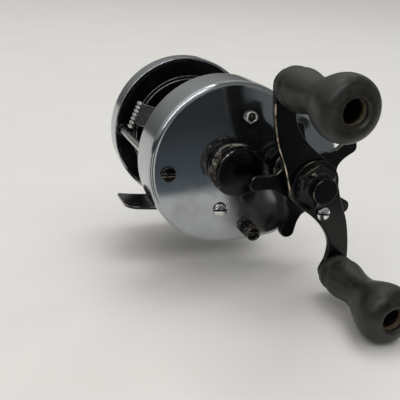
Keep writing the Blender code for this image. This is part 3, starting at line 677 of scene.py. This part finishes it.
def rub(obj, side, least, finish="worn_edge_highlight", low=-1000.0, high=1000.0):
    """Painted highlight: a worn bronze finish on faces that look towards the light, between two
    local y in mm.
    """
    def worn(face):
        there = low < face.center.y / MM < high and abs(face.normal.z) < 0.97
        return there and face.normal.dot(side.normalized()) > least
    paint_faces(obj, finish, worn)


def build_foot():
    """The reel foot: a bar that thins and lifts towards its tips, with rounded corners."""
    low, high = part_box("foot")
    width, length, thick = high[0] / MM, high[1] / MM, (high[2] - low[2]) / MM
    thin, rise = 1.1, 1.4           # thickness and lift of the tips
    flat, edge = 10.0, 0.35         # half-length that lies flat, and the edges' radius
    near, far = 4.2, 1.2            # corner radius on the handle side and on the far side
    stations = [20.0, 23.0] + [length - near + near * sin(radians(7.5 * i))
                               for i in range(13)]
    half = [0.0, 5.0, flat, 12.5, 15.0, 17.5] + stations

    def reach(y, corner):
        past = max(0.0, abs(y) - (length - corner))
        return width - corner + sqrt(max(0.0, corner ** 2 - past ** 2))

    loops = []
    for y in [-v for v in reversed(half[1:])] + half:
        out = max(0.0, abs(y) - flat) / (length - flat)
        under = rise * out * out
        over = under + thin + (thick - thin) * max(0.0, 1.0 - 2.0 * out) ** 2
        tail = max(0.0, abs(y) - (length - edge))
        round_off = edge - sqrt(max(0.0, edge * edge - tail * tail))
        under, over = under + round_off, over - round_off
        fillet = min(edge, (over - under) / 2.3)
        right, left = reach(y, near), -reach(y, far)
        section = [(right, under, fillet), (right, over, fillet), (left, over, fillet),
                   (left, under, fillet)]
        loops.append([(x, y, z) for x, z in rounded(section, closed=True)])
    foot = stand_in("reel_foot", skin(bmesh.new(), loops), "foot", WORLD, "foot_black")
    # Painted highlight: bronze on the top edges that face the light, partly wear.
    rub(foot, Vector((0.4, -0.55, 0.75)), 0.72)
    for node in ("foot_rivet_rear", "foot_rivet_front"):
        x, y = middle(node).xy
        path = rounded([(0.0, 0.0), (2.0, 0.0, 0.3), (2.0, 0.8, 0.1), (0.9, 0.8), (0.9, 5.2, 0.2),
                        (0.0, 5.2)])
        place = Matrix.Translation((x * MM, y * MM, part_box(node)[0][2]))
        stand_in(f"{node}_head", turned(path, SMALL_ROUND), node, place)


# ---- fasteners
def slotted(node, radius, height, dome, slot, depth, shank=1.0, spin=0.0, flip=False):
    """A slotted screw whose domed head takes up the last part of its node's length."""
    total = span(node)
    base = total - height
    path = [Vector((0.0, 0.0)), Vector((shank, 0.0)), Vector((shank, base))]
    rim = total - dome
    path += rounded([(shank, base), (radius, base, 0.12), (radius, rim - 0.1, 0.25)])[1:-1]
    for i in range(9):
        a = radians(90.0 * i / 8)
        path.append(Vector((radius * cos(a), rim + dome * sin(a))))
    path[-1].x = 0.0
    cutter = box_cage((-radius - 1.0, -slot, total - depth), (radius + 1.0, slot, total + 1.0))
    mesh = carved(f"{node}_head", turned(path, SMALL_ROUND), [cutter])
    place = seat(node) @ Matrix.Rotation(radians(spin), 4, "Z")
    if flip:
        place = place @ Matrix.Translation((0.0, 0.0, total * MM))
        place = place @ Matrix.Rotation(pi, 4, "X")
    obj = stand_in(f"{node}_head", mesh, node, place, sharp=30.0)
    dirty(obj, slot, total - depth)


def from_axis(face):
    """Distance in mm of a face's middle from local z."""
    return Vector(face.center[:2]).length / MM


def dirty(obj, slot, floor):
    """Fill a screw's slot with grime."""
    def filled(face):
        height = face.center.z / MM
        inside = abs(face.center.y) / MM < slot + 0.01 and abs(height - floor) < 0.3
        wall = abs(face.normal.y) > 0.9 and height > floor
        return inside and (wall or face.normal.z > 0.9)
    paint_faces(obj, "grime", filled)


def zigzag(turns):
    """Triangle wave between 0 and 1, one for each turn."""
    return abs(turns % 1.0 - 0.5) * 2.0


def flutes(count, depth, low, high):
    """Relief of straight V-shaped knurling between two heights."""
    def relief(radius, angle, height):
        wave = zigzag(angle * count / tau)
        return radius - depth * wave if low < height < high else radius
    return relief


def diamonds(count, pitch, depth, low, high, least):
    """Relief of crossed knurling between two heights, on radii above least."""
    def relief(radius, angle, height):
        if radius < least or not low <= height <= high:
            return radius
        turn = angle * count / tau
        fade = min(1.0, (height - low) / 0.3, (high - height) / 0.3)
        cut = max(zigzag(turn + height / pitch), zigzag(turn - height / pitch))
        return radius - depth * cut * fade - depth * 0.2 * (1.0 - fade)
    return relief


def build_fasteners():
    """Screws on both covers, the eyelet and the takedown thumbscrew."""
    for i in (1, 2):
        slotted(f"left_cover_screw_{i}", 2.1, 1.1, 0.6, 0.3, 0.55, flip=True)
    slotted("cover_screw_rear", 2.6, 1.2, 0.5, 0.5, 0.85)
    slotted("cover_screw_lower", 2.5, 1.0, 0.7, 0.36, 0.6)
    total = span("cover_eyelet")
    face = total - 0.9
    corners = [(1.5, 0.0), (1.5, face), (2.15, face, 0.1), (2.15, total, 0.42),
               (1.45, total, 0.3), (1.3, face - 0.2), (1.2, 0.0)]
    spun("eyelet_ring", corners, "cover_eyelet", steps=SMALL_ROUND)
    plug = rounded([(0.0, face - 1.2), (1.28, face - 1.2), (1.28, face - 0.3, 0.2),
                    (0.5, face - 0.1), (0.45, face - 0.6), (0.0, face - 0.6)])
    piece("eyelet_plug", turned(plug, SMALL_ROUND), "cover_eyelet", finish="dark_steel")

    total = span("takedown_thumbscrew")
    head = total - 4.6
    path = rounded([(0.0, 0.0), (1.0, 0.0), (1.0, head), (2.3, head, 0.1), (2.3, head + 0.7, 0.1),
                    (2.75, head + 1.0, 0.2), (2.75, total, 0.32), (2.2, total, 0.1),
                    (2.1, total - 0.15, 0.05), (0.0, total - 0.1)])
    cutter = box_cage((-4.0, -0.4, total - 0.75), (4.0, 0.4, total + 1.0))
    grip = flutes(24, 0.16, head + 1.2, total - 0.6)
    mesh = carved("thumbscrew_head", turned(divided(path, 0.4), 144, grip), [cutter])
    obj = stand_in("thumbscrew_head", mesh, "takedown_thumbscrew")
    paint_faces(obj, "dusty_brass",
                lambda face: from_axis(face) > 2.58 and face.center.z / MM > total - 0.3)


# ---- spool and clutch
def build_spool():
    """Black spool with bare metal on the lips of its flanges."""
    half = span("spool") / 2.0
    side = [(1.8, 15.4), (5.2, 15.4, 0.5), (8.4, 13.4, 0.6), (20.2, 14.2, 0.5), (21.6, 15.2, 0.4),
            (22.6, 15.1, 0.35), (22.6, 13.6, 0.35), (21.4, 13.35, 0.15), (21.2, 13.1, 0.1),
            (10.4, 12.1, 1.2), (8.0, 10.4, 1.0)]
    both = side + [(r, -h, *f) for r, h, *f in reversed(side)]
    obj = spun("spool_body", [(r, h + half, *f) for r, h, *f in both], "spool", SPOOL, 192)

    def lip(face):
        radius = from_axis(face)
        inner = 21.0 < radius < 21.5 and abs(face.center.z / MM - half) < 13.4
        return radius > 22.15 or inner
    paint_faces(obj, "bar_plating", lip)


def build_yoke_springs():
    """Coil springs over the yoke's posts."""
    radius, wire, turns, steps = 1.6, 0.26, 2.5, 80
    for label in ("upper", "lower"):
        node = f"yoke_spring_{label}"
        length = span(node)
        loops = []
        for i in range(steps + 1):
            angle = tau * turns * i / steps
            height = wire + (length - 2.0 * wire) * i / steps
            loop = []
            for k in range(12):
                r = radius + wire * cos(tau * k / 12)
                rise = wire * sin(tau * k / 12)
                loop.append((r * cos(angle), r * sin(angle), height + rise))
            loops.append(loop)
        coil = stand_in(f"yoke_coil_{label}", skin(bmesh.new(), loops), node)
        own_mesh(coil)


def build_tension_knob():
    """Spool-tension cap: a plain skirt, a groove, a knurled band and a smooth domed cap."""
    total = span("tension_knob")
    skirt = rounded([(5.8, 0.0), (8.5, 0.0, 0.15), (8.9, 0.3, 0.15), (8.9, 2.0, 0.15),
                     (8.4, 2.15, 0.05), (8.4, 2.4)])
    outer, low, high = 8.95, 2.5, 5.75      # the knurled band
    band = divided([Vector((outer, low)), Vector((outer, high))], 0.11)
    rim = rounded([(8.3, 5.9), (8.3, total - 0.55, 0.5), (7.3, total - 0.36)])
    dome = [Vector((0.1 * i, total - 0.4 * (0.1 * i / 7.6) ** 2)) for i in range(70, -1, -5)]
    path = skirt + band + rim + dome + [Vector((0.0, total - 3.6)), Vector((5.8, total - 3.6))]
    knurl = diamonds(64, 0.95, 0.34, low, high, 8.8)
    obj = stand_in("tension_cap", turned(path, 512, knurl), "tension_knob", sharp=50.0)
    # Pale knurl tips in patches: worn metal, and painted glints.
    paint_faces(obj, "tip_wear_glints", lambda face: 2.75 < face.center.z / MM < 5.6
                and outer - from_axis(face) < 0.08)
    # Painted highlight: pale metal on the cap's rim faces that look towards the light.
    rub(obj, Vector((-0.55, 0.65, 0.75)), 0.965, "tip_wear_glints", low=2.0)


def build_thumb_bar():
    """Free-spool bar: a bent plate that ends in a row of seven rounded serrations."""
    y0, z0 = SPOOL
    sections = [(21.6, (-20.9, 16.4), (-24.6, 9.9)), (17.2, (-20.9, 16.4), (-24.6, 9.9)),
                (16.2, (-21.1, 16.4), (-24.7, 9.9)), (12.0, (-23.0, 16.4), (-26.2, 9.2)),
                (7.6, (-25.3, 16.6), (-27.8, 9.6)), (6.9, (-25.6, 16.7), (-28.0, 9.6))]
    half, edge = 0.6, 0.22
    loops = []
    for x, upper, lower in sections:
        top = Vector((upper[0] + y0, upper[1] + z0))
        low = Vector((lower[0] + y0, lower[1] + z0))
        along = (top - low).normalized()
        across = Vector((along.y, -along.x))
        size = (top - low).length
        section = rounded([(0.0, -half, edge), (size, -half, edge), (size, half, edge),
                           (0.0, half, edge)], closed=True)
        loops.append([(x, *(low + along * a + across * b)) for a, b in section])
    stand_in("thumb_bar_plate", skin(bmesh.new(), loops), "thumb_bar", WORLD,
             finish="bar_plating")

    count = 7
    first = Vector((6.4, -25.6 + y0, 17.0 + z0))
    last = Vector((6.4, -29.3 + y0, 7.6 + z0))
    pitch = (last - first) / count
    turn = pitch.to_track_quat("Z", "Y").to_matrix().to_4x4()
    arc = [pi * k / 12 for k in range(13)]
    beads = []
    for i in range(count):
        bead = turned([(max(0.0, sin(a)), cos(a)) for a in arc], 28)
        size = Matrix.Diagonal((1.9, 0.95, 0.50 * pitch.length, 1.0))
        place = Matrix.Translation((first + pitch * (i + 0.5)) * MM)
        bead.transform(place @ turn @ size)
        beads.append(bead)
    piece("thumb_bar_beads", merged(*beads), "thumb_bar", WORLD, finish="steel")


# ---- drag and handle
STAR_ANGLE, STAR_ARMS = 37.0, 5
STAR_SIDE = [(10.0, 4.4), (11.6, 3.0), (14.0, 2.35), (16.6, 2.4)]
STAR_TIP, STAR_TIP_RADIUS, STAR_WEB = 18.2, 2.7, 9.3


def star_outline():
    """Smooth loop round the hub's disc and its five round-ended arms."""
    ends = [radians(-75.0 + 30.0 * i) for i in range(6)]
    arm = [(u, -v) for u, v in STAR_SIDE]
    arm += [(STAR_TIP + STAR_TIP_RADIUS * cos(a), STAR_TIP_RADIUS * sin(a)) for a in ends]
    arm += [(u, v) for u, v in reversed(STAR_SIDE)]
    points = []
    for k in range(STAR_ARMS):
        step = 360.0 / STAR_ARMS
        turn = Matrix.Rotation(radians(STAR_ANGLE + step * k), 2)
        half = Matrix.Rotation(radians(STAR_ANGLE + step * (k + 0.5)), 2)
        points += [turn @ Vector(p) for p in arm] + [half @ Vector((STAR_WEB, 0.0))]
    return smooth_curve(points, 5)


def build_drag():
    """Bushing, washer, knurled spacer and star of the drag."""
    corners = [(2.6, 0.0), (5.2, 0.0), (5.2, 2.0), (7.2, 2.0, 0.2), (7.2, 3.2, 0.4),
               (5.0, 3.4, 0.2), (5.0, 4.6, 0.3), (2.6, 4.6)]
    spun("crank_bushing", corners, "cover_bushing", CRANK)
    corners = [(2.7, 0.9), (5.8, 0.4, 0.15), (5.8, 0.0, 0.15), (2.7, 0.5)]
    spun("curved_washer", corners, "spring_washer", CRANK)
    length = span("star_spacer")
    path = rounded([(2.7, 0.0), (4.8, 0.0, 0.2), (4.8, length, 0.2), (2.7, length)], closed=True)
    knurl = diamonds(26, 2.4, 0.3, 0.3, length - 0.3, 4.4)
    stand_in("knurled_spacer", turned(divided(path, 0.2), 312, knurl), "star_spacer",
             seat("star_spacer", CRANK), sharp=50.0)

    hub = turned(rounded([(2.7, 0.0), (5.8, 0.0, 0.4), (6.4, 0.8, 0.4), (6.4, 8.6, 0.4),
                          (6.0, 9.15, 0.1), (2.7, 9.2)], closed=True))
    low, high, edge = 7.0, 9.2, 0.45
    path = rounded([(1.5, low), (0.0, low, edge), (0.0, high, edge), (1.5, high)])[1:-1]
    plate = lofted(inset_loop(star_outline()), path)
    star = stand_in("drag_star", merged(hub, plate), "star_drag", seat("star_drag", CRANK))
    # Painted highlight: bronze on the arms' fillets that face the light, partly wear.
    rub(star, Vector((-0.6, 0.75, 0.6)), 0.98)


ARM_ANGLE = 110.9
ARM_HALF = [(2.0, -8.7), (6.4, -6.3), (12.4, -2.4), (18.5, 0.1), (24.0, 0.6), (29.0, -1.6),
            (32.8, -4.9), (37.6, -4.3), (39.9, 0.0), (38.0, 4.2), (33.0, 6.0), (26.0, 7.8),
            (18.0, 8.8), (10.0, 8.4), (4.0, 8.6)]


def build_handle():
    """S-shaped arm, its nut and screw, and the two grips on their posts."""
    turn = Matrix.Rotation(radians(ARM_ANGLE), 2)
    both = ARM_HALF + [(-u, -v) for u, v in ARM_HALF]
    outline = inset_loop(smooth_curve([turn @ Vector(p) for p in both], 7))
    thick = span("handle_arm")
    edge = 0.5
    path = rounded([(3.0, 0.0), (0.0, 0.0, edge), (0.0, thick, edge), (3.0, thick)])
    plate = lofted(outline, path[1:-1])
    arm = stand_in("crank_arm", plate, "handle_arm", seat("handle_arm", CRANK))
    # Painted highlight: bronze on the arm's edge faces towards the upper-left light, partly wear.
    rub(arm, Vector((-1.0, 0.0, 1.0)), 0.90, low=-9.0, high=27.0)

    length = span("handle_spacer")
    corners = [(2.6, 0.0), (4.6, 0.0, 0.3), (4.6, length, 0.3), (2.6, length)]
    spun("arm_spacer", corners, "handle_spacer")
    path = rounded([(2.3, 0.0), (8.5, 0.0, 0.12), (8.5, 1.0, 0.3), (7.2, 1.08, 0.05),
                    (7.2, 2.0, 0.25), (6.2, 2.45, 0.3), (4.9, 3.2, 0.3), (2.3, 3.2)], closed=True)

    def hexagon(radius, angle, height):
        if radius < 6.0 or height < 1.05:
            return radius
        sixth = pi / 3.0
        from_flat = (angle + sixth / 2.0) % sixth - sixth / 2.0
        return min(radius, (radius - 0.75) / cos(from_flat))

    nut = stand_in("nut_washer", turned(path, 192, hexagon), "nut_flange")
    # Painted highlight: bronze on the washer's faces towards the light, partly wear.
    rub(nut, Vector((-0.4, 0.9, 0.35)), 0.955, low=4.0)
    length = span("handle_nut")
    corners = [(0.0, 0.0), (4.3, 0.0), (4.3, length - 0.06, 0.22), (0.0, length)]
    cap = spun("nut_cap", corners, "handle_nut", steps=96)
    # Painted highlight: bronze on the cap's rim faces towards the light, partly wear.
    rub(cap, Vector((-0.8, 0.1, 0.8)), 0.80)
    cone = rounded([(0.0, -0.6), (5.3, -0.6, 0.2), (4.9, 0.5, 0.3), (4.3, 0.9), (0.0, 0.9)])
    piece("nut_cone", turned(cone, 96), "handle_nut")
    slotted("retainer_screw", 2.4, 1.2, 0.75, 0.34, 0.7, 0.9, spin=-7.0)

    for label, centre in KNOBS.items():
        build_knob(label, centre)


def build_knob(label, centre):
    """Rubber grip with fine rings over its base, a waist and a ball with a deep hole."""
    node = f"knob_{label}"
    total, place = span(node), seat(node, centre)
    base = rounded([(1.8, 0.0), (6.3, 0.0, 0.3), (6.5, 1.9, 0.35), (6.2, 2.3, 0.12),
                    (6.45, 2.75, 0.15), (6.2, 3.15, 0.12), (6.5, 3.6, 0.15), (6.3, 4.0, 0.12)])
    body = smooth_curve([(6.6, 4.5), (6.8, 6.2), (6.6, 8.4), (6.05, 11.2), (5.75, 14.2),
                         (5.9, 17.2), (6.7, 20.2), (8.0, 23.4), (9.05, 26.5), (9.45, 29.2),
                         (9.1, 31.9), (7.9, 33.7), (6.4, 34.5), (5.1, total)], 5, closed=False)
    hole = rounded([(5.1, total), (4.5, total - 0.05, 0.3), (4.1, total - 0.5, 0.3),
                    (3.75, total - 0.7, 0.2), (3.65, 26.0, 0.3), (1.8, 26.0)])
    ringed, last, groove = 26, 10.5, 0.13       # points with rings, where they fade out, depth
    rings = []
    for p in divided(body[:ringed], 0.2):
        deep = groove * max(0.0, 1.0 - p.y / last) * (1.0 - cos(tau * p.y))
        rings.append(Vector((p.x - deep, p.y)))
    path = base + rings + body[ringed:] + hole[1:]
    stand_in(f"grip_{label}", turned(path, 144), node, place)
    liner = rounded([(3.72, 31.5, 0.05), (3.72, 33.3, 0.05), (3.64, 33.2, 0.03), (3.6, 31.5, 0.05)],
                    closed=True)
    piece(f"grip_bush_{label}", turned(liner, 96), node, place, finish="dusty_brass")
    node = f"knob_post_{label}"
    length = span(node)
    corners = [(0.0, 0.0), (2.6, 0.0, 0.35), (2.6, 0.9, 0.1), (1.4, 0.9), (1.4, length - 1.5),
               (2.9, length - 1.5, 0.2), (2.9, length, 0.5), (0.0, length)]
    spun(f"grip_post_{label}", corners, node, centre, 72, finish="dark_steel")


# ---- level wind
def crossed_groove(radius, angle, height, pitch=5.4, width=0.24, depth=0.32):
    """Relief of a left and a right helix cut into the worm."""
    turn = angle / tau
    near = min(abs((turn + side * height / pitch) % 1.0 - 0.5) for side in (1.0, -1.0))
    return radius - depth * max(0.0, 1.0 - (near / width) ** 2) if radius > 1.1 else radius


def build_level_wind():
    """Worm, slotted tube, guide rod and the line guide that travels on them."""
    length = span("worm_shaft")
    path = divided(rounded([(0.0, 0.0), (1.2, 0.0, 0.1), (1.2, length, 0.1), (0.0, length)]), 0.25)
    stand_in("crossed_worm", turned(path, 48, crossed_groove), "worm_shaft", sharp=60.0)
    length = span("worm_tube")
    path = rounded([(1.9, 0.0), (2.4, 0.0, 0.1), (2.4, length, 0.1), (1.9, length)], closed=True)
    slot = box_cage((-1.4, -4.0, 4.7), (1.4, -0.9, length - 4.7))
    stand_in("slotted_tube", carved("slotted_tube", turned(path, 96), [slot]), "worm_tube")
    length = span("guide_rod")
    corners = [(0.0, 0.0), (1.0, 0.0, 0.15), (1.0, length, 0.15), (0.0, length)]
    spun("front_guide_rod", corners, "guide_rod", steps=SMALL_ROUND)

    low, high = (Vector(corner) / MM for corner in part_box("line_guide"))
    width = high.x - low.x
    sleeve = turned(rounded([(2.7, 0.0, 0.15), (3.9, 0.0, 0.4), (3.9, width, 0.4),
                             (2.7, width, 0.15)], closed=True), 96)
    sleeve.transform(seat("line_guide", WORM))
    boss = turned(rounded([(1.3, 0.1, 0.1), (2.3, 0.1, 0.3), (2.3, width - 0.1, 0.3),
                           (1.3, width - 0.1, 0.1)], closed=True), SMALL_ROUND)
    boss.transform(seat("line_guide", ROD))
    socket = turned(rounded([(1.35, 0.0, 0.1), (2.0, 0.0, 0.2), (2.0, 2.5), (1.35, 2.5)],
                            closed=True), SMALL_ROUND)
    socket.transform(Matrix.Translation((0.0, WORM[0] * MM, low.z * MM)))
    front, thick = 24.2, 2.0
    foot, top = WORM[1] + 1.2, high.z
    corners = [(-2.6, foot), (2.6, foot), (2.6, top, 1.6), (-2.6, top, 1.6)]
    plate_loop = divided(rounded(corners, closed=True) + [Vector((-2.6, foot))], 0.8)[:-1]
    path = rounded([(1.0, 0.0), (0.0, 0.0, 0.3), (0.0, thick, 0.3), (1.0, thick)])
    upright = lofted(inset_loop(plate_loop), path[1:-1])
    eye_low, eye_high = SPOOL[1] - 7.0, SPOOL[1] + 3.6
    eye_loop = rounded([(-1.2, eye_low, 1.1), (1.2, eye_low, 1.1), (1.2, eye_high, 1.1),
                        (-1.2, eye_high, 1.1)], closed=True, segments=8)
    eye = inset_loop(divided(eye_loop + [eye_loop[0]], 0.8)[:-1])
    cutter = lofted(eye, [(0.0, -1.0), (0.0, thick + 1.0)])
    rod_hole = turned([(0.0, -1.0), (1.3, -1.0), (1.3, 8.0), (0.0, 8.0)], SMALL_ROUND)
    rod_hole.transform(Matrix.Rotation(pi / 2.0, 4, "Y"))
    rod_hole.transform(Matrix.Translation((-4.0 * MM, ROD[1] * MM, (ROD[0] - front) * MM)))
    stand_up = Matrix.Translation((0.0, front * MM, 0.0)) @ Matrix(
        ((1, 0, 0, 0), (0, 0, 1, 0), (0, 1, 0, 0), (0, 0, 0, 1)))
    plate = bmesh.new()
    plate.from_mesh(carved("upright", upright, [cutter, rod_hole]))
    plate.transform(stand_up)
    bmesh.ops.recalc_face_normals(plate, faces=plate.faces)
    body = merged(sleeve, boss, socket, plate)
    stand_in("line_guide_body", body, "line_guide", WORLD)
    path = rounded([(-0.35, 0.1, 0.1), (-0.35, thick - 0.1, 0.1), (0.3, thick + 0.2, 0.25),
                    (0.3, -0.2, 0.25)], closed=True)
    rim = lofted(eye, path, ring=True)
    rim.transform(stand_up)
    piece("line_guide_insert", rim, "line_guide", WORLD, finish="steel")
    pawl_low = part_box("pawl")[0][2]
    path = rounded([(0.0, 0.0), (1.8, 0.0, 0.35), (1.8, 1.0, 0.1), (1.0, 1.0), (1.0, 4.9),
                    (0.0, 5.2)])
    place = Matrix.Translation((0.0, WORM[0] * MM, pawl_low))
    stand_in("pawl_cap", turned(path, SMALL_ROUND), "pawl", place)


# ---- stage
def build_stage():
    """Pale floor, soft lights, five cards that only reflections see, and the camera.

    The cards stand in for the dark room round the table, so the polished covers have something
    to mirror. They were placed for the main view.
    """
    floor_height = cad_box[0].z - 0.2 * MM
    bpy.ops.mesh.primitive_plane_add(size=6.0, location=(0.0, 0.0, floor_height))
    floor = bpy.context.object
    floor.name = "floor"
    paper = Finish("floor", (0.76, 0.745, 0.715), 0.55, specular_ior_level=0.25)
    mottle = paper.remap(paper.noise(60.0, 4.0), 0.3, 0.7)
    paper.tint(mottle, (0.775, 0.762, 0.732), (0.750, 0.735, 0.702))
    floor.data.materials.append(paper.material)

    world = bpy.data.worlds.new("studio")
    bpy.context.scene.world = world
    world.use_nodes = True
    tree = world.node_tree
    back = tree.nodes["Background"]
    coordinate = tree.nodes.new("ShaderNodeTexCoord")
    split = tree.nodes.new("ShaderNodeSeparateXYZ")
    ramp = tree.nodes.new("ShaderNodeValToRGB")
    tree.links.new(coordinate.outputs["Generated"], split.inputs[0])
    tree.links.new(split.outputs["Z"], ramp.inputs[0])
    tree.links.new(ramp.outputs[0], back.inputs[0])
    stops = ((0.0, 0.13), (0.12, 0.17), (0.30, 0.30), (0.55, 0.52), (0.80, 0.85), (1.0, 1.05))
    while len(ramp.color_ramp.elements) < len(stops):
        ramp.color_ramp.elements.new(0.5)
    for element, (position, level) in zip(ramp.color_ramp.elements, stops):
        element.position = position
        element.color = (level, level * 0.995, level * 0.985, 1.0)

    def area_light(name, start, end, distance, width, power):
        """A long soft light whose middle lies between two directions from the object."""
        start, end = start.normalized(), end.normalized()
        aim = (start + end).normalized()
        data = bpy.data.lights.new(name, "AREA")
        data.shape = "RECTANGLE"
        data.size = 2.0 * distance * tan(start.angle(end) / 2.0)
        data.size_y = width
        data.energy = power
        across = (start - end).normalized()
        turn = Matrix((across, aim.cross(across), aim)).transposed().to_4x4()
        lamp = added(name, data)
        lamp.matrix_world = Matrix.Translation(Vector((0.03, 0.0, 0.02)) + aim * distance) @ turn

    high_side, low_side = Vector((0.43, -0.08, 0.86)), Vector((0.47, -0.80, 0.36))
    area_light("strip", high_side, low_side, 1.2, 0.042, 2.2)
    area_light("ceiling", Vector((-0.5, 0.1, 1.0)), Vector((0.0, 0.3, 1.0)), 1.5, 0.8, 6.0)

    def hidden_card(name, colour, corners, place, turn=0.0):
        """Add a matt card that only reflections see, and return its finish."""
        card = added(name, bpy.data.meshes.new(name))
        card.data.from_pydata(corners, [], [(0, 1, 2, 3)])
        card.location = place
        card.rotation_euler.z = turn
        for ray in ("camera", "diffuse", "shadow", "transmission"):
            setattr(card, f"visible_{ray}", False)
        shade = Finish(name, colour, 1.0, specular_ior_level=0.0)
        card.data.materials.append(shade.material)
        return shade

    card_height = floor_height + 0.4 * MM
    corners = [(0.007, -0.040, 0.0), (0.670, 0.166, 0.0), (0.7, 0.8, 0.0), (0.0, 0.8, 0.0)]
    place = (0.111, 0.022, card_height)
    shade = hidden_card("near_card", (0.04, 0.045, 0.05), corners, place, -0.18)
    split = shade.node("SeparateXYZ", {0: shade.place})
    away = shade.remap(split.outputs["X"], 0.0, 0.125)
    slant = shade.times(split.outputs["X"], 0.63)
    front = shade.remap(shade.maths("SUBTRACT", split.outputs["Y"], slant), 0.037, 0.050)
    slate = shade.blend(away, (0.100, 0.124, 0.147), (0.031, 0.035, 0.039))
    shade.tint(front, slate, (0.15, 0.16, 0.17))

    for i, fan in enumerate(((-20.0, -45.0), (-60.0, -85.0))):
        rays = [Vector((cos(radians(a)), sin(radians(a)), 0.0)) for a in fan]
        corners = [rays[0] * 0.03, rays[0] * 0.8, rays[1] * 0.8, rays[1] * 0.03]
        place = (0.031, -0.029, card_height)
        hidden_card(f"corner_card_{i}", (0.12, 0.128, 0.135), corners, place)

    corners = [(-0.3, 0.02, 0.0), (0.9, 0.02, 0.0), (0.9, 1.2, 0.0), (-0.3, 1.2, 0.0)]
    hidden_card("top_card", (0.30, 0.31, 0.32), corners, (0.0, 0.0, 0.6))

    corners = [(-0.5, 0.0, 0.0), (0.5, 0.0, 0.0), (0.5, 0.0, 0.13), (-0.5, 0.0, 0.13)]
    place = (0.28, -0.45, floor_height + 0.02)
    shade = hidden_card("side_card", (0.05, 0.055, 0.06), corners, place, 0.47)
    streak = shade.remap(shade.noise(120.0, 2.0), 0.3, 0.7)
    shade.tint(streak, (0.045, 0.05, 0.055), (0.09, 0.10, 0.11))

    data = bpy.data.cameras.new("camera")
    data.lens = 58.5
    data.sensor_width = 36.0
    data.clip_start = 0.01
    camera = added("camera", data)
    right = Vector((0.3468, 0.9357, 0.0654))
    up = Vector((-0.3498, 0.0643, 0.9346))
    ahead = Vector((-0.8702, 0.3470, -0.3496))
    turn = Matrix((right, up, -ahead)).transposed().to_4x4()
    camera.matrix_world = Matrix.Translation((0.2255, -0.0879, 0.0906)) @ turn
    bpy.context.scene.camera = camera
    bpy.context.scene.view_settings.view_transform = "Standard"


def paint_cad_nodes():
    """Every carried-over node gets its slot's finish, shaded smooth except at sharp edges."""
    for node, obj in frame["nodes"].items():
        obj.data.materials.clear()
        obj.data.materials.append(FINISHES[SLOT_OF[node]])
        obj.data.shade_smooth()
        obj.data.set_sharp_from_angle(angle=radians(35.0))


paint_cad_nodes()
build_covers()
build_plates()
build_foot()
build_fasteners()
build_spool()
build_yoke_springs()
build_tension_knob()
build_thumb_bar()
build_drag()
build_handle()
build_level_wind()
build_stage()
